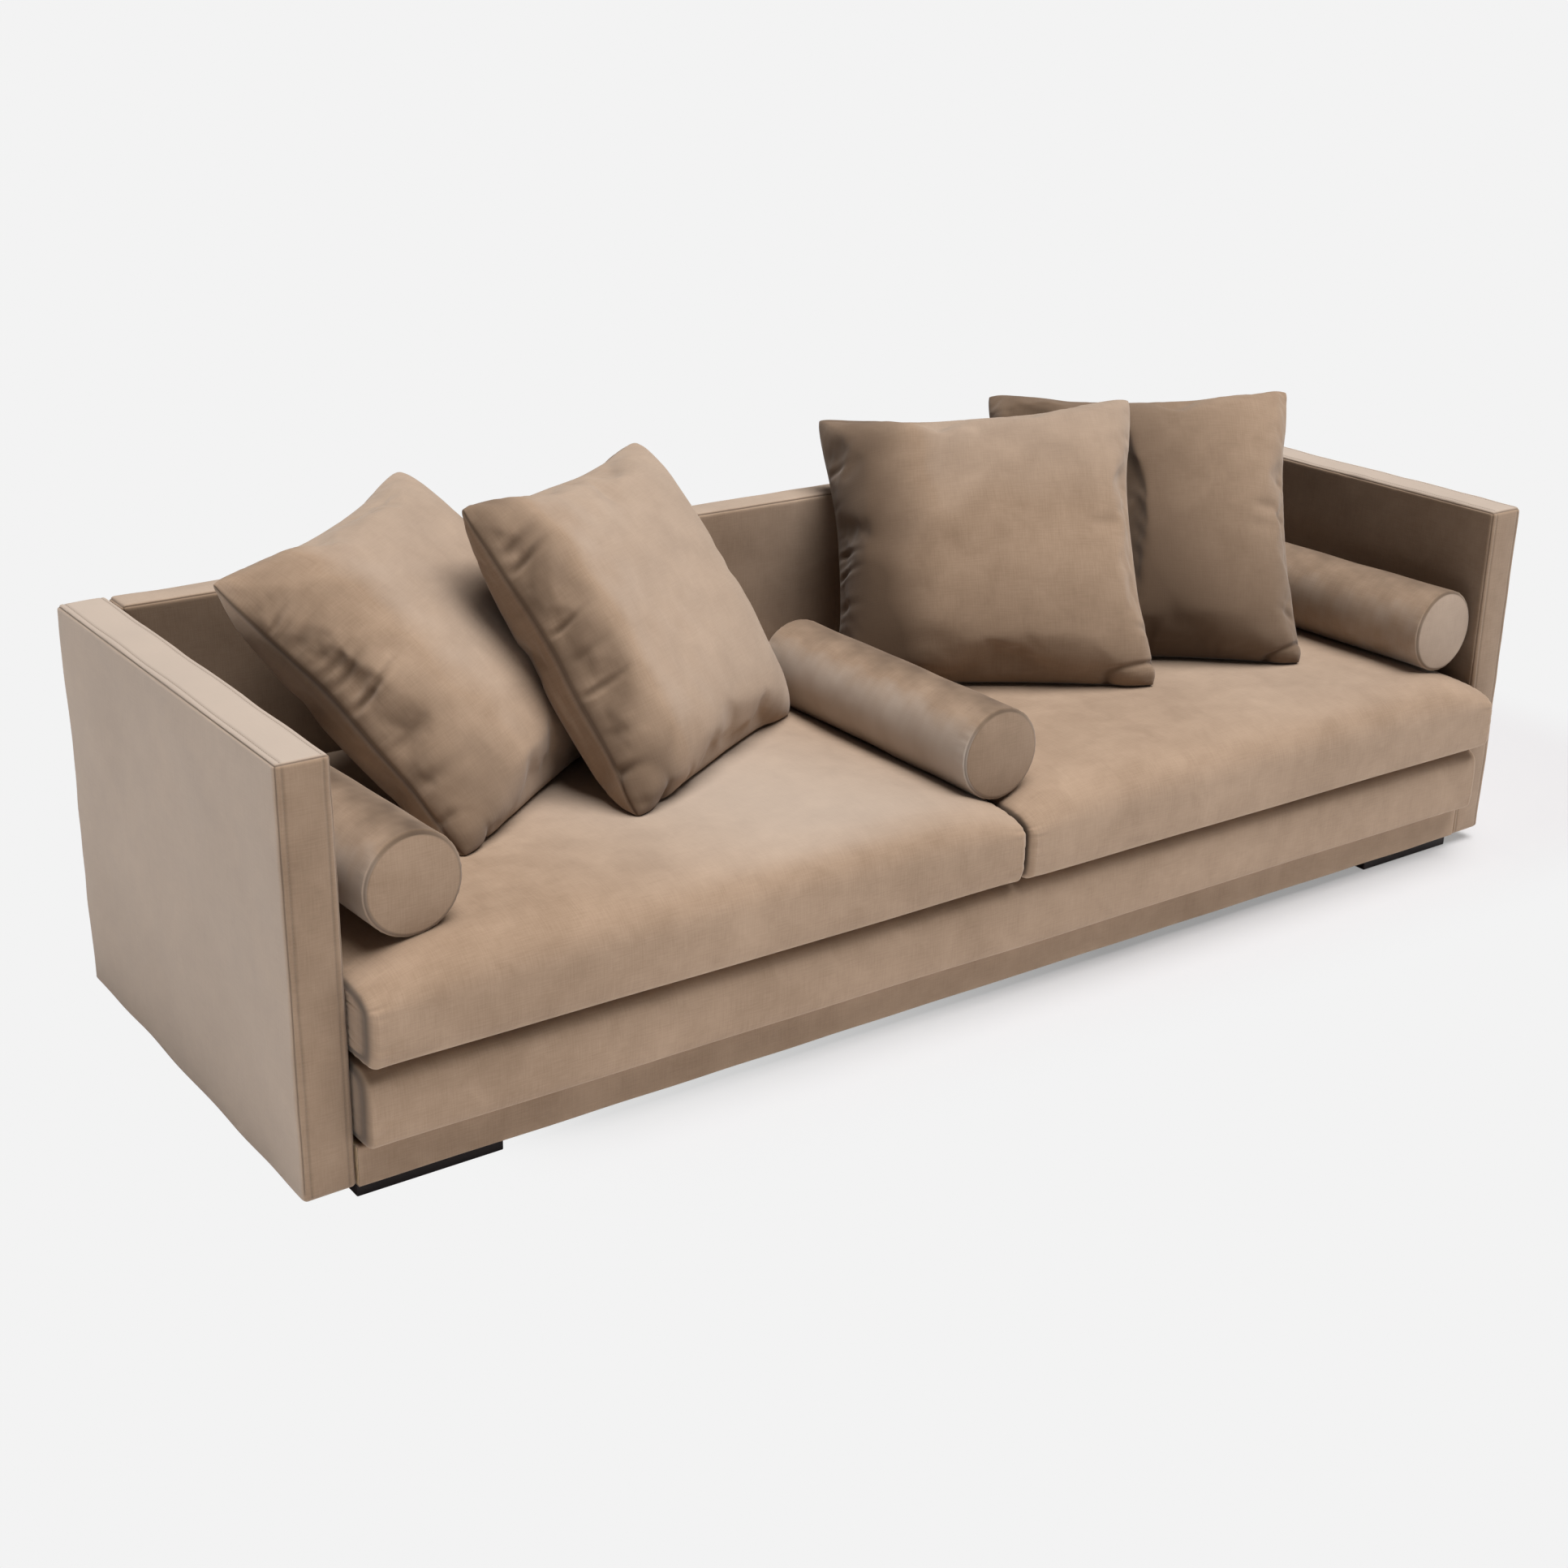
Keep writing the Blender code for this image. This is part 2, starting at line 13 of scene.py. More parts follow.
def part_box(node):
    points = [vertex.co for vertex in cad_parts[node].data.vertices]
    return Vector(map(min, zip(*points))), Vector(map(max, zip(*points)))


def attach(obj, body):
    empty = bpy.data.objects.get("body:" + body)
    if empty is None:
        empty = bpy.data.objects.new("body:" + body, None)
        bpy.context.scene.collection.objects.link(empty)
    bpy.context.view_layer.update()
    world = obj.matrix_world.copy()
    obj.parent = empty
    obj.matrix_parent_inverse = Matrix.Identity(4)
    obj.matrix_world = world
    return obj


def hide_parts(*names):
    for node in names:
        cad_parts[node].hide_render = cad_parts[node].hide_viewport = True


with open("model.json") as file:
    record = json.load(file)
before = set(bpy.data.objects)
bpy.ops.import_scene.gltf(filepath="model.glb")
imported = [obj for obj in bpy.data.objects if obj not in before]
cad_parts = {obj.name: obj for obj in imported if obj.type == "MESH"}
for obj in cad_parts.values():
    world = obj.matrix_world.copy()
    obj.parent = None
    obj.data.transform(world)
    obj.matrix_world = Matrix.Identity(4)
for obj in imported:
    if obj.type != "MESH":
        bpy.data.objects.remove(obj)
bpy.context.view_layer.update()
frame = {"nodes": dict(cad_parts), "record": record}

# The view: a camera off the front left corner, a little above the arms, looking down on the seats.
# The lens is a plain one of about 50 mm, the picture is square and leans by about a degree.
VIEW_AZIMUTH = math.radians(-35.615)
VIEW_ELEVATION = math.radians(21.443)
VIEW_ROLL = math.radians(0.979)
VIEW_TARGET = Vector((-0.151, 0.038, 0.284))
VIEW_DISTANCE = 4.082
VIEW_LENS = 51.46


def put_in_scene(name, data):
    """Add an object for a mesh, a lamp or a camera."""
    made = bpy.data.objects.new(name, data)
    bpy.context.scene.collection.objects.link(made)
    return made


level = math.cos(VIEW_ELEVATION)
view_back = Vector((math.sin(VIEW_AZIMUTH) * level, -math.cos(VIEW_AZIMUTH) * level, 0.0))
view_back.z = math.sin(VIEW_ELEVATION)
view_right = Vector((math.cos(VIEW_AZIMUTH), math.sin(VIEW_AZIMUTH), 0.0))
view_right = Matrix.Rotation(VIEW_ROLL, 3, view_back) @ view_right
view_turn = Matrix((view_right, view_back.cross(view_right), view_back)).transposed().to_4x4()
view_lens = bpy.data.cameras.new("view")
view_lens.lens = VIEW_LENS
camera = put_in_scene("view", view_lens)
camera.matrix_world = Matrix.Translation(VIEW_TARGET + VIEW_DISTANCE * view_back) @ view_turn
bpy.context.scene.camera = camera

# Arms: upright slabs of timber and foam in a tight velour cover. A band runs up the front and along the
# top between two side panels. Sunk seams join them, with a row of topstitching inside each seam.
PILE_DEEP = (0.220, 0.144, 0.091, 1.0)
PILE_PALE = (0.374, 0.263, 0.182, 1.0)
# Painted shade and painted light: the dark and the pale that each point's painted value mixes in. Then the
# dark of the seam lines, partly their own line and partly painted shade of their grooves.
PILE_PAINTED_SHADE = (0.085, 0.052, 0.031, 1.0)
PILE_SEAM_LINE_AND_SHADE = (0.045, 0.028, 0.018, 1.0)
PILE_PAINTED_LIGHT = (0.470, 0.393, 0.332, 1.0)
PILE_SHEEN = (1.0, 0.95, 0.90, 1.0)
PILE_SWEEPS = 2.6
PILE_PATCHES = 15.0
PILE_FIBRES = 700.0
PILE_SLUBS_ALONG = 26.0
PILE_SLUBS_ACROSS = 430.0
PILE_SLUBS_SHOWN = 0.4
PILE_ROUGH = 0.86
PILE_SLUB_HEIGHT = 0.00022
PILE_FIBRE_HEIGHT = 0.00012
PILE_PATCH_HEIGHT = 0.0005
PILE_BUMP = 0.55
THREAD_DARK = (0.13, 0.09, 0.06, 1.0)
THREAD_PALE = (0.26, 0.19, 0.13, 1.0)
THREAD_TWIST = 900.0
RIPPLE_SINES = 8
SEAM_ZONE = 0.0180
SEAM_STEP = 0.0015
ARM_STEPS = (0.007, 0.012, 0.012)
ARM_ROUND = 0.009
ARM_SEAM_DEPTH = 0.0016
ARM_SEAM_WIDTH = 0.0013
ARM_PUFF = 0.0030
ARM_PUFF_REACH = 0.030
ARM_WOBBLE = 0.0013
ARM_SLOW_WAVES = 3.5
ARM_QUICK_WAVES = 10.0
# Seam lines and the topstitch row are darker, partly their own line and partly painted shade of their sunk
# grooves. Then painted shade on the inner faces and the front band, and painted light on the top and the
# outer side.
ARM_SEAM_DARK = 0.5
ARM_ROW_DARK = 0.25
ARM_INSIDE_PAINTED_SHADE = 0.50
ARM_FRONT_PAINTED_SHADE = 0.18
ARM_SIDE_PAINTED_LIGHT = -0.48
ARM_TOP_PAINTED_LIGHT = -0.75
TOPSTITCH_INSET = 0.0125
TOPSTITCH_SINK = 0.0009
TOPSTITCH_WIDTH = 0.0022
TOPSTITCH_PITCH = 0.0056
TOPSTITCH_LENGTH = 0.0040
TOPSTITCH_THREAD = 0.0009
TOPSTITCH_POINTS_UP = 90
TOPSTITCH_POINTS_ALONG = 110


class Link:
    """A socket in a node tree. Sums and products of sockets add Math nodes."""

    def __init__(self, tree, socket=None):
        self.tree = tree
        self.socket = socket

    def node(self, kind, settings=None, values=None, out=0):
        """Add a node: its settings come first, then the values or links of its sockets."""
        made = self.tree.nodes.new(kind)
        for name, value in (settings or {}).items():
            setattr(made, name, value)
        for key, value in (values or {}).items():
            if isinstance(value, Link):
                self.tree.links.new(value.socket, made.inputs[key])
            else:
                made.inputs[key].default_value = value
        return Link(self.tree, made.outputs[out])

    def into(self, node, key):
        self.tree.links.new(self.socket, node.inputs[key])

    def maths(self, operation, first, second):
        return self.node("ShaderNodeMath", {"operation": operation}, {0: first, 1: second})

    def __add__(self, other):
        return self.maths("ADD", self, other)

    __radd__ = __add__

    def __sub__(self, other):
        return self.maths("SUBTRACT", self, other)

    def __rsub__(self, other):
        return self.maths("SUBTRACT", other, self)

    def __mul__(self, other):
        return self.maths("MULTIPLY", self, other)

    __rmul__ = __mul__

    def mix(self, dark, pale):
        """A colour between two, by this share."""
        return self.node("ShaderNodeMix", {"data_type": "RGBA"}, {0: self, 6: dark, 7: pale}, out=2)

    def noise(self, scale, detail, **more):
        """Clouds over this place."""
        values = {"Vector": self, "Scale": scale, "Detail": detail, **more}
        return self.node("ShaderNodeTexNoise", None, values)

    def stretched(self, *scale):
        """This place, scaled along its three axes."""
        return self.node("ShaderNodeMapping", None, {"Vector": self, "Scale": scale})

    def emboss(self, shader, strength, distance):
        """Raise a surface by this height."""
        bump = self.node("ShaderNodeBump", None, {"Strength": strength, "Distance": distance, "Height": self})
        bump.into(shader, "Normal")


def new_finish(name, fixed):
    """A node material with the fixed values of its shader, that shader, and the place on a piece."""
    material = bpy.data.materials.new(name)
    material.use_nodes = True
    shader = material.node_tree.nodes["Principled BSDF"]
    for socket, value in fixed.items():
        shader.inputs[socket].default_value = value
    return material, shader, Link(material.node_tree).node("ShaderNodeTexCoord", out=3)


def make_velour():
    """Short brushed pile: broad paler and darker sweeps, fine slubs of the ground weave and a soft sheen. A
    value at each point mixes in painted light and painted shade, and the seam lines are darker, partly their
    own line and partly painted shade of their grooves.
    """
    material, shader, place = new_finish("taupe_velour", {
        "Specular IOR Level": 0.12, "Sheen Weight": 0.20, "Sheen Roughness": 0.55, "Sheen Tint": PILE_SHEEN})
    cloth = place.node("ShaderNodeUVMap", {"uv_map": "cloth"})
    sweep = place.noise(PILE_SWEEPS, 3.0, Roughness=0.5, Distortion=0.8)
    patch = place.noise(PILE_PATCHES, 4.0, Roughness=0.6, Distortion=0.4)
    warp = cloth.stretched(PILE_SLUBS_ACROSS, PILE_SLUBS_ALONG, 1.0).noise(1.0, 2.0)
    weft = cloth.stretched(PILE_SLUBS_ALONG, PILE_SLUBS_ACROSS, 1.0).noise(1.0, 2.0)
    fibres = place.noise(PILE_FIBRES, 2.0)
    slubs = warp + weft - 1.0
    tone = sweep + patch - 0.5 + slubs * PILE_SLUBS_SHOWN
    seam_line_and_shade = place.node("ShaderNodeAttribute", {"attribute_name": "crease"}, out=2)
    painted_level = place.node("ShaderNodeAttribute", {"attribute_name": "nap"}, out=2)
    # Painted shade and painted light by each point's value, then the dark seam lines with their painted
    # shade.
    colour = painted_level.mix(tone.mix(PILE_DEEP, PILE_PALE), PILE_PAINTED_SHADE)
    colour = (0.0 - painted_level).mix(colour, PILE_PAINTED_LIGHT)
    seam_line_and_shade.mix(colour, PILE_SEAM_LINE_AND_SHADE).into(shader, "Base Color")
    (PILE_ROUGH + (patch - 0.5) * 0.3).into(shader, "Roughness")
    height = slubs * PILE_SLUB_HEIGHT + fibres * PILE_FIBRE_HEIGHT + patch * PILE_PATCH_HEIGHT
    height.emboss(shader, PILE_BUMP, 1.0)
    return material


def make_thread():
    """Twisted thread, a little darker than the pile."""
    material, shader, place = new_finish("topstitch_thread", {"Roughness": 0.7})
    place.noise(THREAD_TWIST, 1.0).mix(THREAD_DARK, THREAD_PALE).into(shader, "Base Color")
    return material


VELOUR = make_velour()
THREAD = make_thread()


def stations(low, high, edge, fine, coarse):
    """Places along a side, close together near both ends where the seams lie."""
    near = np.arange(0.0, edge, fine)
    middle = np.linspace(low + edge, high - edge, max(2, round((high - low - 2 * edge) / coarse) + 1))
    return np.concatenate((low + near, middle, high - near[::-1]))


def box_grid(sides):
    """The six faces of a box as grids that share their edges, from the places along its three sides."""
    numbers = {}
    points = []
    faces = []
    for axis in range(3):
        first, second = (axis + 1) % 3, (axis + 2) % 3
        for end in (0, len(sides[axis]) - 1):
            for i in range(len(sides[first]) - 1):
                for j in range(len(sides[second]) - 1):
                    ring = []
                    for step_i, step_j in ((0, 0), (1, 0), (1, 1), (0, 1)):
                        key = [end, end, end]
                        key[first] = i + step_i
                        key[second] = j + step_j
                        key = tuple(key)
                        if key not in numbers:
                            numbers[key] = len(points)
                            points.append([sides[a][key[a]] for a in range(3)])
                        ring.append(numbers[key])
                    faces.append(ring if end else ring[::-1])
    return np.array(points), faces


def ripple(points, scale, seed):
    """Slow uneven waves in stretched cloth, from about -1 to 1: a few sines in drawn directions."""
    draw = np.random.default_rng(seed)
    total = np.zeros(len(points))
    for _ in range(RIPPLE_SINES):
        heading = draw.normal(size=3)
        heading *= 2 * math.pi * scale * draw.uniform(0.5, 1.5) / np.linalg.norm(heading)
        total += np.sin(points @ heading + draw.uniform(0.0, 2 * math.pi))
    return 2 * total / RIPPLE_SINES


def bell(off, width):
    """A smooth rise to 1 where `off` is 0."""
    return np.exp(-((off / width) ** 2))


def limited(values):
    """Values kept between 0 and 1."""
    return np.clip(values, 0.0, 1.0)


def soften(points, low, high, radius, seam_depth, seam_width):
    """Round a box's edges and find how deep a seam along the middle of each rounded edge is sunk."""
    core = np.clip(points, low + radius, high - radius)
    outward = points - core
    facing = outward / np.linalg.norm(outward, axis=1, keepdims=True)
    ranked = np.sort(np.abs(facing), axis=1)
    across = radius * (math.pi / 4 - np.arctan2(ranked[:, 1], ranked[:, 2]))
    above_hem = limited((points[:, 2] - low[2] - radius) / radius)
    seam = seam_depth * above_hem * bell(across, seam_width)
    return core + radius * facing, facing, seam


def edge_distance(points, low, high):
    """How far points on a box's faces are from the nearest edge."""
    return np.sort(np.hstack((points - low, high - points)), axis=1)[:, 1]


def arm_surface(points, low, high, inner, seed):
    """Where the velour of an arm lies, for points on the faces of its box; `inner` is +1 or -1 along X."""
    base, facing, seam = soften(points, low, high, ARM_ROUND, ARM_SEAM_DEPTH, ARM_SEAM_WIDTH)
    puff = ARM_PUFF * (1.0 - np.exp(-edge_distance(points, low, high) / ARM_PUFF_REACH))
    waves = ripple(points, ARM_SLOW_WAVES, seed) + 0.5 * ripple(points, ARM_QUICK_WAVES, seed + 1)
    waves = ARM_WOBBLE * waves
    inside = limited(facing[:, 0] * inner)
    puff = puff * (1.0 - inside) + waves * (1.0 - inside) - np.abs(waves) * inside
    from_side = np.minimum(points[:, 0] - low[0], high[0] - points[:, 0])
    band = limited(np.maximum(-facing[:, 1], facing[:, 2])) ** 4
    row = band * bell(from_side - TOPSTITCH_INSET, TOPSTITCH_WIDTH)
    # Darker seam lines and topstitch row, with painted shade of their grooves.
    crease = ARM_SEAM_DARK * seam / ARM_SEAM_DEPTH + ARM_ROW_DARK * row
    in_front = limited(-facing[:, 1])
    on_top = limited(facing[:, 2])
    outside = limited(-facing[:, 0] * inner)
    # Painted shade on the inner faces and the front band, painted light on the top and the outer side.
    nap = ARM_INSIDE_PAINTED_SHADE * inside ** 3 + ARM_FRONT_PAINTED_SHADE * in_front ** 3
    nap += ARM_TOP_PAINTED_LIGHT * on_top ** 3 + ARM_SIDE_PAINTED_LIGHT * outside ** 3
    return base + facing * (puff - seam - TOPSTITCH_SINK * row)[:, None], crease, nap


def read(items, name, width=3):
    """One value, or one row of values, for each item of a mesh."""
    values = np.empty(len(items) * width)
    items.foreach_get(name, values)
    return values.reshape(-1, width)


def cloth_mesh(name, points, faces, cloth=None):
    """A smooth mesh with a map of its cloth in metres: given per face corner, or laid square to each face."""
    mesh = bpy.data.meshes.new(name)
    mesh.from_pydata(np.asarray(points).tolist(), [], faces)
    mesh.update()
    mesh.shade_smooth()
    if cloth is None:
        corners = np.empty(len(mesh.loops), int)
        mesh.loops.foreach_get("vertex_index", corners)
        facing = np.abs(read(mesh.polygons, "normal")).argmax(axis=1)
        facing = np.repeat(facing, [len(face) for face in faces])
        spot = np.asarray(points)[corners]
        across = np.where(facing == 0, spot[:, 1], spot[:, 0])
        up = np.where(facing == 2, spot[:, 1], spot[:, 2])
        cloth = np.column_stack((across, up))
    layer = mesh.uv_layers.new(name="cloth")
    layer.data.foreach_set("uv", np.asarray(cloth, float).ravel())
    return mesh


def mark_seams_and_shading(mesh, crease, nap=0.0):
    """Say at each point how dark a seam's line is, to 1, partly its own line and partly painted shade of its
    groove, and how much painted light or painted shade lies there: -1 is painted light and 1 painted shade.
    """
    for name, values, least in (("crease", crease, 0.0), ("nap", nap, -1.0)):
        values = np.clip(np.broadcast_to(values, len(mesh.vertices)), least, 1.0)
        mesh.attributes.new(name, "FLOAT", "POINT").data.foreach_set("value", values)


def dress(name, mesh, body, nodes):
    """Put a padded velour piece in place of the solids it stands for."""
    piece = put_in_scene(name, mesh)
    mesh.materials.clear()
    mesh.materials.append(VELOUR)
    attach(piece, body)
    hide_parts(*nodes)
    return piece


def stitch_tree():
    """Stitches laid along a path: each one a small lens of thread, turned to follow the row."""
    tree = bpy.data.node_groups.new("stitch_row", "GeometryNodeTree")
    sockets = tree.interface
    sockets.new_socket("Geometry", in_out="INPUT", socket_type="NodeSocketGeometry")
    for size in ("Pitch", "Length", "Thickness"):
        sockets.new_socket(size, in_out="INPUT", socket_type="NodeSocketFloat")
    sockets.new_socket("Material", in_out="INPUT", socket_type="NodeSocketMaterial")
    sockets.new_socket("Geometry", in_out="OUTPUT", socket_type="NodeSocketGeometry")
    start = Link(tree)
    given = tree.nodes.new("NodeGroupInput")
    row, pitch, length, thickness, finish = (Link(tree, socket) for socket in given.outputs[:5])
    curve = start.node("GeometryNodeMeshToCurve", None, {"Mesh": row})
    spots = start.node("GeometryNodeResampleCurve", {"mode": "LENGTH"}, {"Curve": curve, "Length": pitch})
    tangent = start.node("GeometryNodeInputTangent")
    turn = start.node("FunctionNodeAlignRotationToVector", {"axis": "X"}, {"Vector": tangent})
    size = start.node("ShaderNodeCombineXYZ", None, {"X": length, "Y": thickness, "Z": thickness})
    stitch = start.node("GeometryNodeMeshUVSphere", None, {"Segments": 6, "Rings": 4, "Radius": 0.5})
    laid = start.node("GeometryNodeInstanceOnPoints", None,
                      {"Points": spots, "Instance": stitch, "Rotation": turn, "Scale": size})
    plain = start.node("GeometryNodeRealizeInstances", None, {"Geometry": laid})
    done = start.node("GeometryNodeSetMaterial", None, {"Geometry": plain, "Material": finish})
    done.into(tree.nodes.new("NodeGroupOutput"), "Geometry")
    return tree


STITCH_TREE = stitch_tree()


def finished_mesh(piece):
    """The plain mesh that a piece's modifiers make of it. The piece itself goes."""
    bpy.context.view_layer.update()
    mesh = bpy.data.meshes.new_from_object(piece.evaluated_get(bpy.context.evaluated_depsgraph_get()))
    bpy.data.objects.remove(piece)
    return mesh


def box_corners(node):
    """The lowest and the highest corner of a node."""
    return (np.array(corner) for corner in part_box(node))


def stitch_rows(name, paths, body, sizes, material):
    """One mesh of stitches along paths, each a list of points."""
    edges = []
    points = []
    for path in paths:
        first = len(points)
        points += [tuple(point) for point in path]
        edges += [(number, number + 1) for number in range(first, len(points) - 1)]
    guide_mesh = bpy.data.meshes.new(name + "_path")
    guide_mesh.from_pydata(points, edges, [])
    guide = put_in_scene(name + "_path", guide_mesh)
    rows = guide.modifiers.new("rows", "NODES")
    rows.node_group = STITCH_TREE
    inputs = [item for item in STITCH_TREE.interface.items_tree if item.in_out == "INPUT"]
    for socket, value in zip(inputs[1:], (*sizes, material)):
        rows[socket.identifier] = value
    mesh = finished_mesh(guide)
    bpy.data.meshes.remove(guide_mesh)
    mesh.name = name
    piece = put_in_scene(name, mesh)
    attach(piece, body)


for side, inner, seed in (("left", 1, 1), ("right", -1, 5)):
    low, high = box_corners(f"{side}_arm_cover")
    sides = [stations(low[axis], high[axis], SEAM_ZONE, SEAM_STEP, ARM_STEPS[axis]) for axis in range(3)]
    box_points, faces = box_grid(sides)
    points, crease, nap = arm_surface(box_points, low, high, inner, seed)
    arm_mesh = cloth_mesh(f"{side}_arm_velour", points, faces)
    mark_seams_and_shading(arm_mesh, crease, nap)
    dress(f"{side}_arm_velour", arm_mesh, "sofa_frame", [f"{side}_arm_cover", f"{side}_arm_padding"])
    up = np.linspace(low[2] + ARM_ROUND, high[2] - ARM_ROUND, TOPSTITCH_POINTS_UP)
    along = np.linspace(low[1] + ARM_ROUND, high[1] - ARM_ROUND, TOPSTITCH_POINTS_ALONG)
    rows = []
    for x in (low[0] + TOPSTITCH_INSET, high[0] - TOPSTITCH_INSET):
        front = [(x, low[1], z) for z in up]
        top = [(x, y, high[2]) for y in along]
        rows += [arm_surface(np.array(row), low, high, inner, seed)[0] for row in (front, top)]
    stitch_rows(f"{side}_arm_topstitch", rows, "sofa_frame",
                (TOPSTITCH_PITCH, TOPSTITCH_LENGTH, TOPSTITCH_THREAD), THREAD)

# Back: a slab like the arms, between them and level with them. Its front and rear panels meet a top band
# in sunk seams along the upper edges.
BACK_ROUND = 0.009
BACK_PUFF = 0.0035
# Painted light and shade on the front face, darker towards the left end and paler towards the right, and
# painted light on the top. The seam lines are dark, partly their own line and partly painted shade of their
# grooves.
BACK_FRONT_PAINTED_SHADING = -0.06
BACK_PAINTED_SHADING_SLOPE = -0.50
BACK_TOP_PAINTED_LIGHT = -0.35
BACK_SEAM_DARK = 0.6
BACK_SLOW_WAVES = 2.5
BACK_QUICK_WAVES = 8.0
BACK_SEAM_STEPS = (0.0030, 0.0015, 0.0015)
BACK_STEPS = (0.016, 0.008, 0.016)

low, high = box_corners("back_cover")
sides = [stations(low[axis], high[axis], SEAM_ZONE, BACK_SEAM_STEPS[axis], BACK_STEPS[axis])
         for axis in range(3)]
box_points, faces = box_grid(sides)
base, facing, seam = soften(box_points, low, high, BACK_ROUND, ARM_SEAM_DEPTH, ARM_SEAM_WIDTH)
puff = BACK_PUFF * (1.0 - np.exp(-edge_distance(box_points, low, high) / ARM_PUFF_REACH))
waves = ripple(box_points, BACK_SLOW_WAVES, 9) + 0.5 * ripple(box_points, BACK_QUICK_WAVES, 10)
waves = ARM_WOBBLE * waves
at_end = np.abs(facing[:, 0])
lift = (puff + waves) * (1.0 - at_end) - seam
back_mesh = cloth_mesh("back_velour", base + facing * lift[:, None], faces)
# Painted shade and light on the front face and painted light on the top, then the dark seam lines.
nap = (BACK_FRONT_PAINTED_SHADING + BACK_PAINTED_SHADING_SLOPE * box_points[:, 0]) * limited(-facing[:, 1]) ** 3
nap += BACK_TOP_PAINTED_LIGHT * limited(facing[:, 2]) ** 3
mark_seams_and_shading(back_mesh, BACK_SEAM_DARK * seam / ARM_SEAM_DEPTH, nap)
back = dress("back_velour", back_mesh, "sofa_frame", ["back_cover", "back_padding"])

# Base: a timber frame on four low stained block feet. Velour is wrapped over the front rail and stapled
# underneath, and black cloth closes the underside.
RAIL_WRAP_ROUND = 0.004
RAIL_WRAP_CLOTH = 0.0018
RAIL_WRAP_OVER = 0.0022
RAIL_WRAP_TOP_LIP = 0.0112
RAIL_WRAP_WAVE = 0.0008
RAIL_WRAP_WAVES = 4.5
RAIL_WRAP_END = 0.0045
RAIL_WRAP_STEP = 0.012
RAIL_WRAP_TURN_POINTS = 7
RAIL_WRAP_TOP_POINTS = 4
RAIL_WRAP_FACE_POINTS = 14
RAIL_WRAP_LIP_POINTS = 5
FRAME_DULLING = 0.3

low, high = box_corners("front_rail_cover")
top = high[2] + RAIL_WRAP_OVER
turn = np.linspace(0.0, math.pi / 2, RAIL_WRAP_TURN_POINTS)
drawn_in = RAIL_WRAP_ROUND * (1.0 - np.sin(turn))
drawn_up = RAIL_WRAP_ROUND * (1.0 - np.cos(turn))
top_y = np.linspace(low[1] + RAIL_WRAP_TOP_LIP, low[1] + RAIL_WRAP_ROUND, RAIL_WRAP_TOP_POINTS)[:-1]
face_z = np.linspace(top - RAIL_WRAP_ROUND, low[2] + RAIL_WRAP_ROUND, RAIL_WRAP_FACE_POINTS)[1:-1]
lip_y = np.linspace(low[1] + RAIL_WRAP_ROUND, high[1], RAIL_WRAP_LIP_POINTS)[1:]
outline_y = np.concatenate((top_y, low[1] + drawn_in, np.full(len(face_z), low[1]), low[1] + drawn_up,
                            lip_y))
outline_z = np.concatenate((np.full(len(top_y), top), top - drawn_up, face_z, low[2] + drawn_in,
                            np.full(len(lip_y), low[2])))
runs = stations(low[0], high[0], RAIL_WRAP_END, SEAM_STEP, RAIL_WRAP_STEP)
wrap_points = np.array([(x, y, z) for x in runs for y, z in zip(outline_y, outline_z)])
wrap_points[:, 1] += RAIL_WRAP_WAVE * ripple(wrap_points, RAIL_WRAP_WAVES, 14)
count = len(outline_y)
wrap_faces = [
    [i * count + j, (i + 1) * count + j, (i + 1) * count + j + 1, i * count + j + 1][::-1]
    for i in range(len(runs) - 1) for j in range(count - 1)
]
wrap = put_in_scene("wrap_sheet", cloth_mesh("wrap_sheet", wrap_points, wrap_faces))
thicken = wrap.modifiers.new("cloth", "SOLIDIFY")
thicken.thickness = RAIL_WRAP_CLOTH
thicken.offset = -1.0
dress("front_rail_velour", finished_mesh(wrap), "sofa_frame", ["front_rail_cover"])


def ribs(place, axis, scale):
    """Even ribs across an axis."""
    return place.node("ShaderNodeTexWave", {"bands_direction": axis}, {"Vector": place, "Scale": scale})


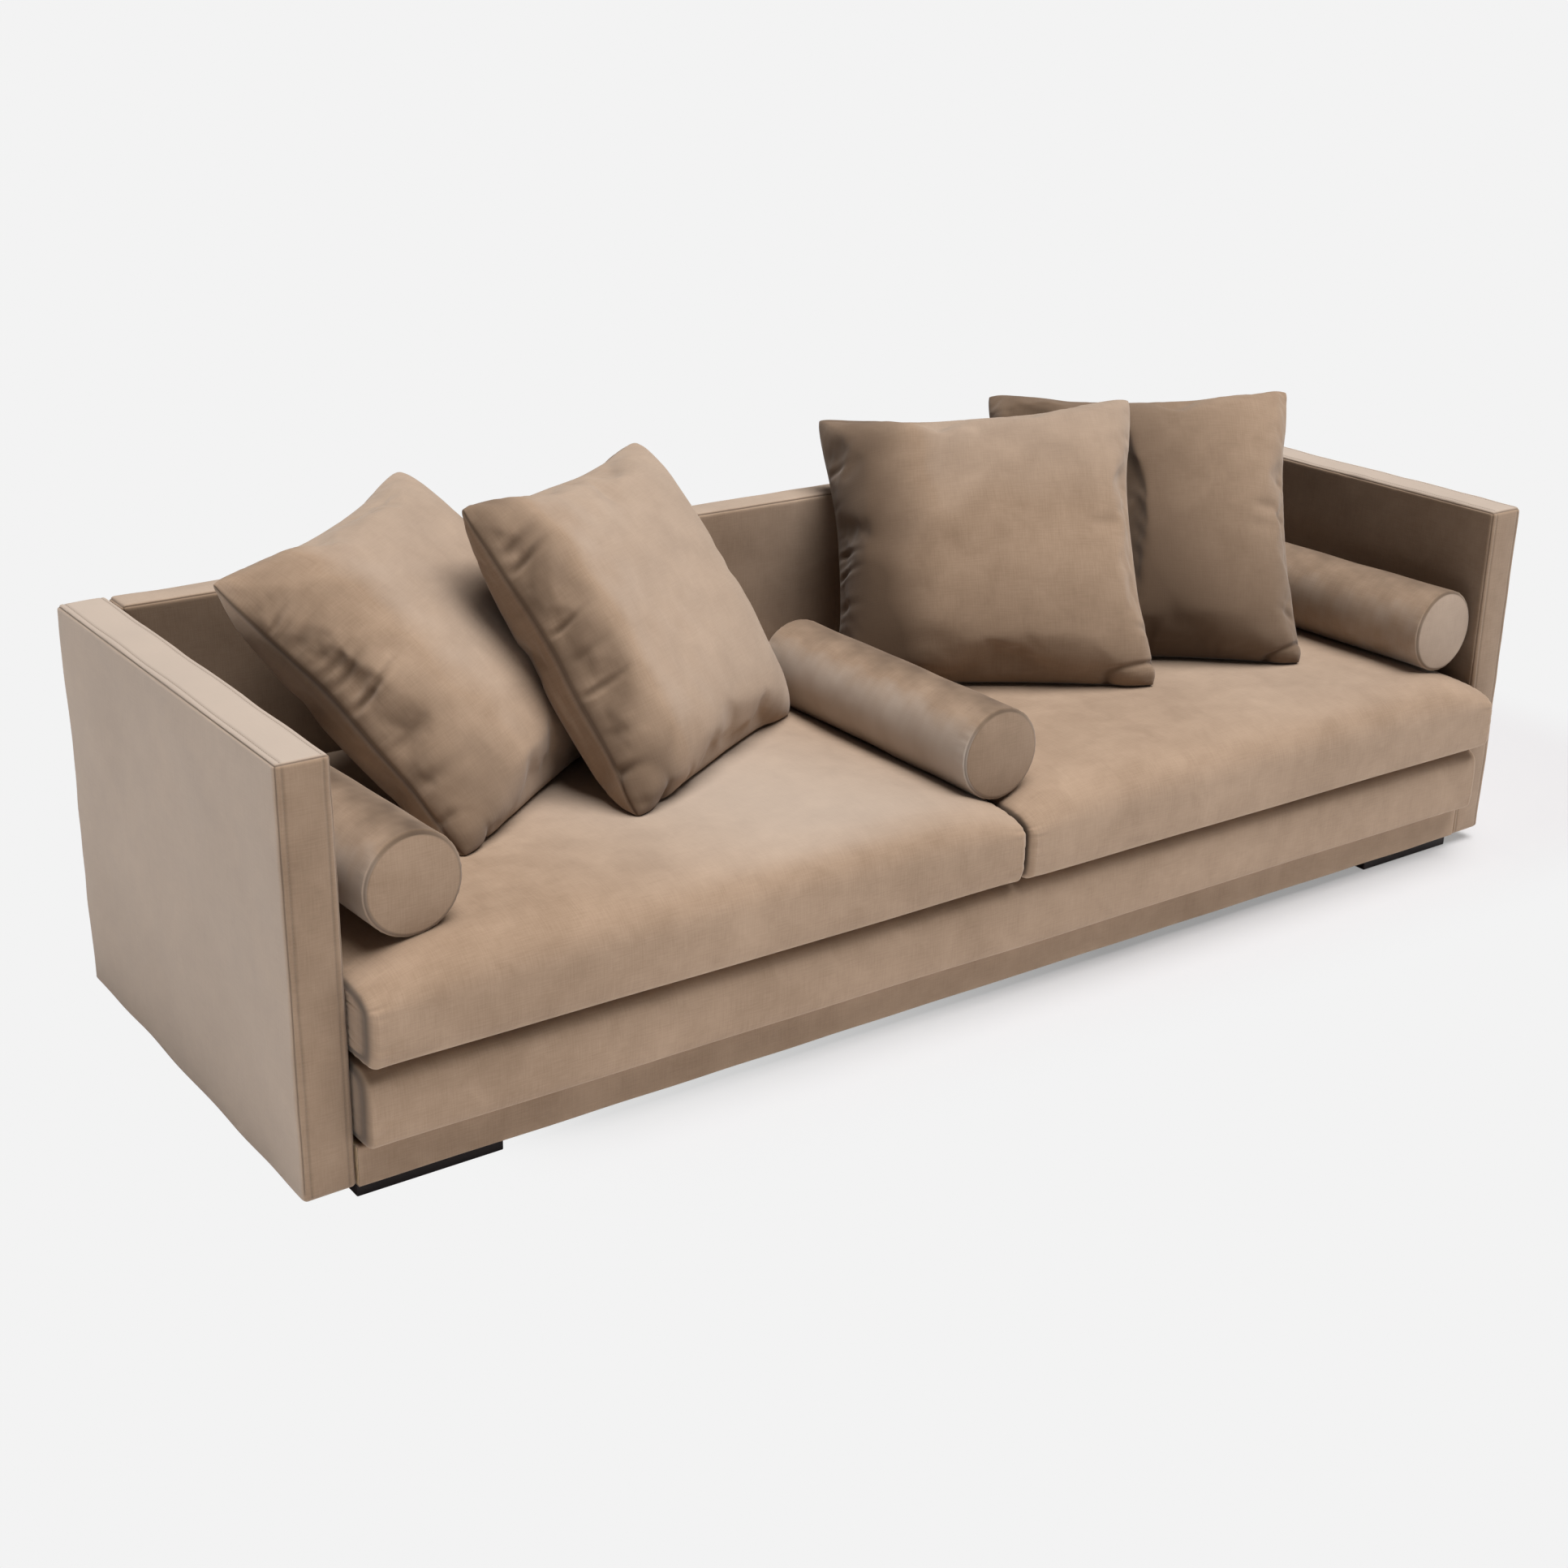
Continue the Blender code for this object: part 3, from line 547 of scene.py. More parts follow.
# Finishes of the frame's pieces: a pattern between two colours, which may dull the surface and raise it.
FRAME_FINISHES = {
    # Dark stained blocks: long grain along the foot, under a satin lacquer that is duller on the grain.
    "stained_wood": {
        "pattern": lambda place: place.stretched(14.0, 160.0, 160.0).noise(1.0, 5.0),
        "colours": ((0.004, 0.003, 0.0034, 1.0), (0.020, 0.013, 0.013, 1.0)),
        "fixed": {"Specular IOR Level": 0.2}, "dull": 0.42, "bump": (0.3, 0.0004),
    },
    # Planed softwood: pale rings drawn out along the board.
    "pale_timber": {
        "pattern": lambda place: place.stretched(2.0, 26.0, 26.0).noise(1.6, 6.0, Distortion=1.2),
        "colours": ((0.43, 0.28, 0.15, 1.0), (0.72, 0.55, 0.36, 1.0)), "fixed": {}, "dull": 0.5,
    },
    # Cut open-cell foam: cream, with fine pores.
    "cream_foam": {
        "pattern": lambda place: place.node("ShaderNodeTexVoronoi", None, {"Vector": place, "Scale": 420.0}),
        "colours": ((0.66, 0.58, 0.42, 1.0), (0.84, 0.78, 0.64, 1.0)),
        "fixed": {"Roughness": 0.95}, "bump": (0.5, 0.001),
    },
    # Black woven cloth: fine crossed threads, matt.
    "black_cloth": {
        "pattern": lambda place: (ribs(place, "X", 160.0) + ribs(place, "Y", 160.0)) * 0.5,
        "colours": ((0.010, 0.010, 0.011, 1.0), (0.045, 0.045, 0.047, 1.0)),
        "fixed": {"Roughness": 0.92}, "bump": (0.4, 0.0005),
    },
    # Zinc plated steel with uneven dulling.
    "zinc_steel": {
        "pattern": lambda place: place.noise(240.0, 4.0),
        "colours": ((0.50, 0.51, 0.53, 1.0), (0.70, 0.71, 0.73, 1.0)),
        "fixed": {"Metallic": 1.0}, "dull": 0.22,
    },
    # Woven zip tape, taupe like the velour, with the fine ribs of its coil.
    "zip_tape": {
        "pattern": lambda place: ribs(place, "X", 120.0),
        "colours": ((0.10, 0.072, 0.052, 1.0), (0.20, 0.15, 0.11, 1.0)),
        "fixed": {"Roughness": 0.7}, "bump": (0.5, 0.0005),
    },
}


def frame_looks(slot, finish):
    """The material of one of the frame's finishes."""
    material, shader, place = new_finish(f"{slot}_looks", finish["fixed"])
    pattern = finish["pattern"](place)
    pattern.mix(*finish["colours"]).into(shader, "Base Color")
    if "dull" in finish:
        (finish["dull"] + pattern * FRAME_DULLING).into(shader, "Roughness")
    if "bump" in finish:
        pattern.emboss(shader, *finish["bump"])
    return material


FRAME_LOOKS = {slot: frame_looks(slot, finish) for slot, finish in FRAME_FINISHES.items()}
for subpart in frame["record"]["subparts"]:
    looks = FRAME_LOOKS.get(subpart["material_slot"])
    if looks:
        node_mesh = frame["nodes"][subpart["node"]].data
        node_mesh.materials.clear()
        node_mesh.materials.append(looks)

# Deck: one pad of foam from arm to arm under the seat cushions, in a velour cover with sewn end panels.
# Its front is a flat band with rounded edges, gathered where it meets the end seams.
PAD_REAR_POWER = 24.0
PAD_CROWN_POWER = 8
PAD_GIRTH_SAMPLES = 4001
PAD_GIRTH_SPACING = 0.021
PAD_CORNER_SHARE = 0.055
PAD_END_STATIONS = (0.0, 0.15, 0.33, 0.52, 0.72, 0.88, 1.0)
PAD_END_RINGS = (0.985, 0.95, 0.87, 0.72, 0.52, 0.30, 0.10)
PAD_SHRINK = 0.004
PAD_PRESSURE = 1.5
PAD_FRAMES = 18
PAD_SEAM_PULL = 0.03
PAD_SEAM_REACH = 0.02
PAD_SEAM_WIDTH = 0.003
# How dark the seam lines are: partly the seam's own line, partly painted shade of its groove.
PAD_SEAM_DARK = 0.8
PAD_WAVE = 0.0012
COVER_CLOTH = {
    "quality": 5, "mass": 0.3, "tension_stiffness": 40.0, "compression_stiffness": 40.0,
    "shear_stiffness": 12.0, "bending_stiffness": 0.15, "air_damping": 3.0, "use_pressure": True,
}
GATHER_REACH = 4.0
GATHER_START = 1.2
GATHER_FADE = 1.4
GATHER_LIP = 0.35
GATHER_LIP_AT = 1.9
GATHER_SLANT = 0.15
# How square the section is above and below, along the depth and along the height. Then the spacing along X,
# the rounded ends, the crown's drop to them, the sunk seams, the waves of the cloth, and the gathers by their
# spacing, length, depth and width.
DECK_PAD = {
    "upper": (20.0, 5.5), "lower": (34.0, 9.0), "run": 0.085, "end_round": 0.012, "drop": 0.0,
    "sunk": 0.0015, "waves": 3.0, "gathers": (0.045, 0.05, 0.0022, 0.006),
}


def pad_outline(half_depth, half_height, upper, lower):
    """Points round a padded section, counterclockwise in YZ and closer together at its corners.

    `upper` and `lower` say how square each half is at the front, along the depth and along the height.
    """
    angle = np.linspace(0.0, 2 * math.pi, PAD_GIRTH_SAMPLES)
    out, up = np.cos(angle), np.sin(angle)
    front, upright = np.where(up[:, None] > 0, upper, lower).T
    front = np.where(out < 0, front, PAD_REAR_POWER)
    y = np.sign(out) * np.abs(out) ** (2.0 / front) * half_depth
    z = np.sign(up) * np.abs(up) ** (2.0 / upright) * half_height
    run = np.concatenate(([0.0], np.cumsum(np.hypot(np.diff(y), np.diff(z)))))
    heading = np.unwrap(np.arctan2(np.diff(z), np.diff(y)))
    turned = np.concatenate(([0.0, 0.0], np.cumsum(np.abs(np.diff(heading)))))
    measure = run + PAD_CORNER_SHARE * turned
    even = np.linspace(0.0, measure[-1], round(measure[-1] / PAD_GIRTH_SPACING) + 1)[:-1]
    outline = np.column_stack((np.interp(even, measure, y), np.interp(even, measure, z)))
    return outline, np.interp(even, measure, run), run[-1]


def sewn_roll(half, outline, around, girth, spacing, end_round, drop=0.0, dome=0.0):
    """A padded length along X between two sewn end panels.

    Gives points, faces and cloth map, and for each point its distance from the nearer end seam and its place
    round it.
    """
    near = np.array(PAD_END_STATIONS) * end_round
    inside = half[0] - end_round
    middle = np.linspace(-inside, inside, round(2 * inside / spacing) + 1)
    runs = np.concatenate((-half[0] + near[:-1], middle, half[0] - near[-2::-1]))
    share = limited((np.abs(runs) - half[0] + end_round) / end_round)
    tuck = end_round * (1.0 - np.sqrt(1.0 - share ** 2))
    points, seam, place = [], [], []
    for run, sunk in zip(runs, tuck):
        y = outline[:, 0] * (1.0 - sunk / half[1])
        z = outline[:, 1] * (1.0 - sunk / half[2])
        lost = drop * (abs(run) / half[0]) ** PAD_CROWN_POWER
        z = np.where(z > 0, z * (1.0 - lost / half[2]), z)
        points.append(np.column_stack((np.full(len(y), run), y, z)))
        seam.append(np.full(len(y), half[0] - abs(run) + 1e-6))
        place.append(around)
    count = len(outline)
    rows = len(runs)
    grid = [(i, j) for i in range(rows - 1) for j in range(count)]
    faces = []
    for i, j in grid:
        k = (j + 1) % count
        faces.append([i * count + j, i * count + k, (i + 1) * count + k, (i + 1) * count + j])
    turned = np.append(around, girth)
    cloth = [(runs[i + a], turned[j + b]) for i, j in grid for a, b in ((0, 0), (0, 1), (1, 1), (1, 0))]
    for end, row in ((-1, 0), (1, rows - 1)):
        rim = points[row]
        middle_point = rim.mean(axis=0)
        last = row * count
        for ratio in PAD_END_RINGS:
            first = sum(len(ring) for ring in points)
            ring = middle_point + (rim - middle_point) * ratio
            ring[:, 0] += end * dome * (1.0 - ratio ** 2)
            points.append(ring)
            seam.append(np.full(count, (ratio - 1.0) * half[2]))
            place.append(around)
            for j in range(count):
                k = (j + 1) % count
                quad = [last + j, last + k, first + k, first + j]
                faces.append(quad[::-1] if end < 0 else quad)
            last = first
        faces.append([last + j for j in range(count)][::1 if end > 0 else -1])
    points = np.vstack(points)
    caps = faces[len(grid):]
    cloth += [tuple(points[number][1:]) for face in caps for number in face]
    return points, faces, np.array(cloth), np.concatenate(seam), np.concatenate(place)


def fill_out(piece, tight, pressure, shrink, cap, may_sink=False):
    """Blow a sewn cover up with its filling: `tight` marks the points whose sewing draws the cloth in.

    A foam pad keeps its shape, so its cover only moves out. A feather cushion may sink too.
    """
    mesh = piece.data
    rest = read(mesh.vertices, "co")
    group = piece.vertex_groups.new(name="sewing")
    for number in np.flatnonzero(tight > 0.01):
        group.add([int(number)], float(tight[number]), "REPLACE")
    cloth = piece.modifiers.new("cloth", "CLOTH")
    settings = cloth.settings
    for name, value in COVER_CLOTH.items():
        setattr(settings, name, value)
    settings.uniform_pressure_force = pressure
    settings.vertex_group_shrink = group.name
    settings.shrink_min = 0.0
    settings.shrink_max = shrink
    settings.effector_weights.gravity = 0.0
    cloth.collision_settings.use_collision = False
    cloth.collision_settings.use_self_collision = False
    cloth.point_cache.frame_start = 1
    cloth.point_cache.frame_end = PAD_FRAMES
    for step in range(1, PAD_FRAMES + 1):
        bpy.context.scene.frame_set(step)
    filled = piece.evaluated_get(bpy.context.evaluated_depsgraph_get()).data
    moved = read(filled.vertices, "co") - rest
    piece.modifiers.remove(cloth)
    bpy.context.scene.frame_set(1)
    if not may_sink:
        normals = read(mesh.vertex_normals, "vector")
        outward = (moved * normals).sum(axis=1, keepdims=True)
        moved -= np.minimum(outward, 0.0) * normals
    reach = np.linalg.norm(moved, axis=1, keepdims=True)
    return rest + moved * np.minimum(1.0, cap / np.maximum(reach, 1e-9))


def refine(piece, points, marks, levels):
    """Set the filled shape, subdivide and give back the fine mesh, its points, normals and marks."""
    mesh = piece.data
    mesh.vertices.foreach_set("co", points.ravel())
    for name, values in marks.items():
        mesh.attributes.new(name, "FLOAT", "POINT").data.foreach_set("value", values)
    mesh.update()
    finer = piece.modifiers.new("finer", "SUBSURF")
    finer.levels = levels
    finer.render_levels = levels
    fine = finished_mesh(piece)
    spots = read(fine.vertices, "co")
    normals = read(fine.vertex_normals, "vector")
    found = {}
    for name in marks:
        found[name] = read(fine.attributes[name].data, "value", 1).ravel()
        fine.attributes.remove(fine.attributes[name])
    return fine, spots, normals, found


def gathers(distance, along, rows, girth=math.inf):
    """Gathers that run in from a seam: grooves with soft lips, by place, length, depth, width and slant."""
    total = np.zeros(len(distance))
    for place, length, depth, width, slant in rows:
        near = np.flatnonzero(distance < length)
        off = along[near] - place - slant * distance[near]
        if girth < math.inf:
            off = (off + girth / 2) % girth - girth / 2
        close = np.abs(off) < GATHER_REACH * width
        near, off = near[close], off[close]
        inset = distance[near]
        fade = 1.0 - bell(inset, GATHER_START * width)
        fade = (1.0 - inset / length) ** GATHER_FADE * fade
        groove = bell(off, width)
        lips = bell(np.abs(off) - GATHER_LIP_AT * width, width)
        total[near] += depth * fade * (GATHER_LIP * lips - groove)
    return total


def random_gathers(seed, girth, spacing, length, depth, width):
    """Small gathers all along a seam, unevenly spaced."""
    draw = np.random.default_rng(seed)
    count = max(3, round(girth / spacing))
    places = (np.arange(count) + draw.uniform(-0.35, 0.35, count)) * girth / count
    return [(place, length * draw.uniform(0.5, 1.3), depth * draw.uniform(0.3, 1.3),
             width * draw.uniform(0.7, 1.3), draw.uniform(-GATHER_SLANT, GATHER_SLANT)) for place in places]


def loose_piece(name, points, faces, cloth):
    """A sewn cover, not yet filled."""
    return put_in_scene(name, cloth_mesh(name, points, faces, cloth))


def stuffed_pad(name, node, pad, gather_seed, wave_seed):
    """Sew, fill and gather a pad. Gives its mesh, points and normals, and how dark its seams are, partly
    their own line and partly painted shade of their grooves.
    """
    low, high = box_corners(node)
    half = (high - low) / 2
    outline, around, girth = pad_outline(*(half[1:] - PAD_SHRINK), pad["upper"], pad["lower"])
    points, faces, cloth, seam, place = sewn_roll(half, outline, around, girth, pad["run"], pad["end_round"],
                                                  pad["drop"])
    form = loose_piece(f"{name}_form", points + (low + high) / 2, faces, cloth)
    tight = bell(seam, PAD_SEAM_REACH)
    points = fill_out(form, tight, PAD_PRESSURE, PAD_SEAM_PULL, PAD_SHRINK)
    mesh, points, normals, marks = refine(form, points, {"seam": seam, "place": place}, 2)
    rows = random_gathers(gather_seed, girth, *pad["gathers"])
    at_seam = bell(marks["seam"], PAD_SEAM_WIDTH)
    lift = gathers(np.abs(marks["seam"]), marks["place"], rows, girth) - pad["sunk"] * at_seam
    points += normals * (lift + PAD_WAVE * ripple(points, pad["waves"], wave_seed))[:, None]
    points[:, 0] = np.clip(points[:, 0], low[0], high[0])
    mesh.vertices.foreach_set("co", points.ravel())
    return mesh, points, normals, PAD_SEAM_DARK * at_seam


deck_mesh, _, _, crease = stuffed_pad("deck", "deck_cover", DECK_PAD, 3, 21)
mark_seams_and_shading(deck_mesh, crease)
dress("deck_velour", deck_mesh, "sofa_frame", ["deck_cover", "deck_foam"])

# Seat cushions: two wide foam cushions laid on the deck. One piece of velour wraps over the bullnose front
# from top to bottom, and an oval panel closes each end, with small gathers beside its seam.
SEAT_PAD = {
    "upper": (11.0, 2.3), "lower": (34.0, 8.0), "run": 0.050, "end_round": 0.014, "drop": 0.050,
    "sunk": 0.0018, "waves": 2.5, "gathers": (0.026, 0.045, 0.0016, 0.0045),
}
# Painted light and shade on the top of each seat: how much all over, above 0 painted shade and below it
# painted light, how much more painted light in its middle, and where that middle lies along X.
SEAT_TOP_PAINTED_LIGHT = {"left": (0.06, -0.56, -0.45), "right": (-0.03, -0.13, 0.75)}
SEAT_PAINTED_LIGHT_WIDTH = 0.36
SEAT_PAINTED_LIGHT_SLANT = 0.3
SEAT_TOP_POWER = 6

seats = []
for side, seed in (("left", 31), ("right", 37)):
    name = f"{side}_seat"
    seat_mesh, points, normals, crease = stuffed_pad(name, f"{side}_seat_cover", SEAT_PAD, seed, seed)
    all_over, in_middle, middle = SEAT_TOP_PAINTED_LIGHT[side]
    # Painted light in a broad sweep over the seat's upward-facing top.
    off = points[:, 0] - middle + SEAT_PAINTED_LIGHT_SLANT * points[:, 1]
    sweep = bell(off, SEAT_PAINTED_LIGHT_WIDTH)
    nap = (all_over + in_middle * sweep) * limited(normals[:, 2]) ** SEAT_TOP_POWER
    mark_seams_and_shading(seat_mesh, crease, nap)
    nodes = [f"{side}_seat_cover", f"{side}_seat_foam", f"{side}_seat_zip"]
    seats.append(dress(f"{side}_seat_velour", seat_mesh, f"{side}_seat", nodes))

# Bolsters: round rolls in a velour sleeve, closed at each end by a sewn disc. One lies by each arm and one
# over the join of the seat cushions.
BOLSTER_LENGTH = 0.600
BOLSTER_TURNS = {"left": math.radians(3.0), "centre": 0.0, "right": math.radians(1.5)}
BOLSTER_DIAMETER = 0.163
BOLSTER_END_ROUND = 0.006
BOLSTER_DOME = 0.005
# Painted shade along the top of each sleeve, centred at this turn round it and this wide, and painted light
# on its lower front side. Each disc gets one even painted value: painted shade on the left and centre ones,
# painted light on the right one. The mottle is the pile's own random tone.
BOLSTER_SHADE_SWING = 1.75
BOLSTER_SHADE_WIDTH = 0.6
BOLSTER_SIDE_TURN = 0.15
BOLSTER_SIDE_POWER = 2.5
BOLSTER_TOP_PAINTED_SHADE = {"left": 0.80, "centre": 0.72, "right": 0.65}
BOLSTER_SIDE_PAINTED_LIGHT = {"left": -0.40, "centre": -1.0, "right": -0.15}
BOLSTER_DISC_PAINTED_SHADING = {"left": 0.04, "centre": 0.25, "right": -0.30}
BOLSTER_MOTTLE = 0.09
BOLSTER_SPACING = 0.010
BOLSTER_GATHERS = (0.020, 0.030, 0.0012, 0.0035)
BOLSTER_DISC_GATHERS = (0.03, 0.018, 0.0009, 0.003)
BOLSTER_SUNK = 0.0012
BOLSTER_SUNK_AT = 0.002
BOLSTER_SUNK_WIDTH = 0.0015
# The disc seams are dark, partly their own line and partly painted shade of their grooves.
BOLSTER_DARK = 0.5
BOLSTER_DARK_AT = 0.001
BOLSTER_DARK_WIDTH = 0.0020
BOLSTER_WAVE = 0.0010
BOLSTER_WAVES = 5.0

bolsters = []
for side, turn in BOLSTER_TURNS.items():
    low, high = box_corners(f"{side}_bolster_core")
    middle = (low + high) / 2
    seed = len(side)
    radius = BOLSTER_DIAMETER / 2
    girth = 2 * math.pi * radius
    count = round(girth / BOLSTER_SPACING)
    angle = np.arange(count) * 2 * math.pi / count
    outline = radius * np.column_stack((np.cos(angle), np.sin(angle)))
    half = np.array((BOLSTER_LENGTH / 2, radius, radius))
    points, faces, cloth, seam, _ = sewn_roll(half, outline, radius * angle, girth, BOLSTER_SPACING,
                                              BOLSTER_END_ROUND, dome=BOLSTER_DOME)
    heading = np.array(Matrix.Rotation(turn + math.pi / 2, 3, "Z"))
    points = points @ heading.T + middle
    roll = loose_piece(f"{side}_bolster_form", points, faces, cloth)
    roll_mesh, points, normals, marks = refine(roll, points, {"seam": seam}, 1)
    seam = marks["seam"]
    spots = (points - middle) @ heading
    swing = np.arctan2(spots[:, 2], spots[:, 1])
    place = radius * (swing % (2 * math.pi))
    rows = random_gathers(41 + seed, girth, *BOLSTER_GATHERS)
    lift = gathers(np.where(seam > 0, seam, 1.0), place, rows, girth)
    rows = random_gathers(47, girth, *BOLSTER_DISC_GATHERS)
    lift += gathers(np.where(seam < 0, -seam, 1.0), place, rows, girth)
    lift -= BOLSTER_SUNK * bell(seam - BOLSTER_SUNK_AT, BOLSTER_SUNK_WIDTH)
    points += normals * (lift + BOLSTER_WAVE * ripple(points, BOLSTER_WAVES, seed))[:, None]
    roll_mesh.vertices.foreach_set("co", points.ravel())
    # Painted shade along the top, painted light on the lower front side, and the pile's random mottle. Each
    # disc gets its own even painted value.
    on_top = bell(swing - BOLSTER_SHADE_SWING, BOLSTER_SHADE_WIDTH)
    on_side = limited(np.cos(swing + BOLSTER_SIDE_TURN)) ** BOLSTER_SIDE_POWER
    nap = BOLSTER_TOP_PAINTED_SHADE[side] * on_top + BOLSTER_SIDE_PAINTED_LIGHT[side] * on_side
    mottle = ripple(points, 5.0, 5 + seed) + ripple(points, 11.0, 15) + ripple(points, 27.0, 16)
    nap = np.where(seam > 0, nap + BOLSTER_MOTTLE * mottle, BOLSTER_DISC_PAINTED_SHADING[side])
    mark_seams_and_shading(roll_mesh, BOLSTER_DARK * bell(seam - BOLSTER_DARK_AT, BOLSTER_DARK_WIDTH), nap)
    nodes = [f"{side}_bolster_cover", f"{side}_bolster_core", f"{side}_bolster_zip"]
    bolsters.append(dress(f"{side}_bolster_velour", roll_mesh, f"{side}_bolster", nodes))

# Scatter cushions: square feather cushions in knife-edged velour covers, sewn from two panels. The seams
# draw the panels into gathers, and each cushion leans back on its lower edge.
# Half the width and half the height of each cushion, and half the thickness of all.
SCATTER_SIZES = {1: (0.306, 0.288), 2: (0.304, 0.288), 3: (0.308, 0.281), 4: (0.305, 0.276)}
SCATTER_DEEP = 0.0925
# How each cushion is turned, leans back and is rolled, in degrees.
SCATTER_LEANS = {1: (32.5, 44.3, 4.9), 2: (31.7, 33.9, -1.4), 3: (-38.0, 35.0, 5.5), 4: (-39.2, 35.3, 2.8)}
SCATTER_DRAW = 0.025
SCATTER_CORNER = 0.004
SCATTER_CORNER_POWER = 24
SCATTER_CELLS = 52
SCATTER_START = 0.86
SCATTER_CROWN_EDGE = 2.2
SCATTER_CROWN = 0.46
SCATTER_TOP_THINNER = 0.08
SCATTER_UNEVEN = 0.002
SCATTER_UNEVEN_WAVES = 5.0
SCATTER_PRESSURE = 0.8
SCATTER_SWELL = 0.030
SCATTER_SEAM_PULL = 0.02
SCATTER_SEAM_REACH = 0.015
SCATTER_LOWER_HOLD = 1.0
SCATTER_SIDE_HOLD = 0.45
SCATTER_ON_SEAM = 0.9999
SCATTER_SMOOTH_CELLS = 4
SCATTER_SMOOTH_FROM = -0.15
SCATTER_SMOOTH_SPAN = 0.35
SCATTER_SEAT_LEAST = 0.30
SCATTER_SAG_MOST = 0.045
SCATTER_SAG_FROM = 0.3
SCATTER_SAG_SPAN = 1.3
SCATTER_SAG_POWER = 2.5
SCATTER_CLEAR = 0.0012
SCATTER_ROOM = 0.004
SCATTER_TRAVEL = 0.35
SCATTER_STEPS = 8
SCATTER_SUNK = 0.0016
SCATTER_SUNK_WIDTH = 0.0015
# Dark seam lines, partly their own line and partly painted shade of their grooves.
SCATTER_DARK = 0.7
SCATTER_DARK_WIDTH = 0.0018
SCATTER_WAVE = 0.0015
SCATTER_WAVES = 4.5
SCATTER_GATHER_DEPTH = {"left": 0.0016, "right": 0.0014, "low": 0.0005, "top": 0.0012}
SCATTER_GATHER_SPACING = 0.070
SCATTER_GATHER_LENGTH = 0.05
SCATTER_GATHER_WIDTH = 0.007
# Larger gathers along each edge: place along it, length, depth, width and slant.
SCATTER_FOLDS = {
    1: {"left": [(0.174, 0.06, 0.005, 0.005, 0.3), (0.129, 0.10, 0.004, 0.008, 0.3),
                 (0.067, 0.08, 0.004, 0.006, 0.2), (0.040, 0.10, 0.006, 0.006, 0.3),
                 (-0.006, 0.13, 0.009, 0.006, 0.25), (-0.09, 0.10, 0.003, 0.009, 0.1),
                 (-0.16, 0.12, 0.004, 0.010, 0.0)],
        "low": [(0.10, 0.05, 0.0012, 0.010, 0.0)],
        "top": [(0.05, 0.10, 0.003, 0.010, 0.5)]},
    2: {"left": [(0.190, 0.12, 0.006, 0.008, 0.2), (0.160, 0.10, 0.008, 0.006, 0.25),
                 (0.042, 0.09, 0.006, 0.005, 0.2), (-0.011, 0.11, 0.003, 0.008, 0.1),
                 (-0.073, 0.10, 0.006, 0.006, 0.1), (-0.150, 0.09, 0.003, 0.009, 0.0)],
        "low": [(-0.16, 0.06, 0.004, 0.008, -0.2)],
        "top": [(-0.02, 0.05, 0.002, 0.010, 0.0)]},
    3: {"left": [(0.157, 0.07, 0.005, 0.007, 0.1), (-0.017, 0.08, 0.006, 0.006, -0.1),
                 (-0.062, 0.08, 0.007, 0.006, 0.1), (-0.123, 0.08, 0.005, 0.008, 0.0)],
        "low": [(-0.05, 0.07, 0.0008, 0.009, 0.1), (0.12, 0.05, 0.0010, 0.009, 0.0)],
        "top": [(0.065, 0.04, 0.003, 0.008, 0.0), (0.20, 0.04, 0.003, 0.008, 0.0)],
        "right": [(-0.19, 0.06, 0.004, 0.007, 0.2)]},
    4: {"left": [(0.10, 0.07, 0.005, 0.008, 0.0), (-0.06, 0.08, 0.005, 0.008, 0.1)],
        "low": [(-0.04, 0.09, 0.005, 0.007, 0.3), (0.0, 0.07, 0.003, 0.007, 0.2),
                (0.14, 0.05, 0.002, 0.008, 0.0)],
        "top": [(0.02, 0.04, 0.003, 0.009, 0.0)],
        "right": [(0.06, 0.05, 0.003, 0.007, 0.0), (-0.02, 0.05, 0.003, 0.007, 0.1),
                  (-0.20, 0.07, 0.005, 0.007, 0.3)]},
}
# Lower corners folded over like an ear: which corner, how far the fold runs along the lower and the side
# edge, how deep it is, and how much it fades between the two edges.
SCATTER_EARS = {
    1: ((-1, -1), 0.070, 0.065, 0.003, 0.9),
    2: ((-1, -1), 0.075, 0.085, 0.006, 0.9),
    3: ((1, -1), 0.090, 0.042, 0.006, 0.2),
    4: ((1, -1), 0.062, 0.036, 0.005, 0.3),
}
# Painted light and shade on each cushion, from -1, painted light, to 1, painted shade: all over, towards the
# top, along the left edge with how far it reaches in, and along the lower edge with how far it reaches up.
SCATTER_PAINTED_SHADING = {
    1: (-0.22, -0.05, 0.45, 0.22, 0.35, 0.25),
    2: (-0.20, -0.05, 0.72, 0.14, 0.30, 0.12),
    3: (0.02, -0.28, 1.00, 0.23, 0.45, 0.22),
    4: (0.22, -0.22, 0.65, 0.55, 0.60, 0.28),
}
# Painted light on the rear panel of cushion 1 and painted shade on the others, then painted shade in the
# grooves of gathers and folds and painted light on their lips.
SCATTER_REAR_PAINTED_SHADING = {1: -0.30, 2: 0.10, 3: 0.50, 4: 0.33}
SCATTER_SIDE_FADE = 0.65
SCATTER_FOLD_PAINTED_SHADING = 0.30
SCATTER_FOLD_DEEP = 0.006
SCATTER_FOLD_HIGH = 0.6
SCATTER_MOTTLE = 0.22
SCATTER_MOTTLES = 13.0
SCATTER_MOTTLE_REACH = 0.12
EAR_WAVER = 0.10
EAR_WAVES = 3.3
EAR_WIDTH = 0.11
EAR_PLUMP = 0.5
EAR_PLUMP_AT = 0.55
EAR_PLUMP_WIDTH = 0.30


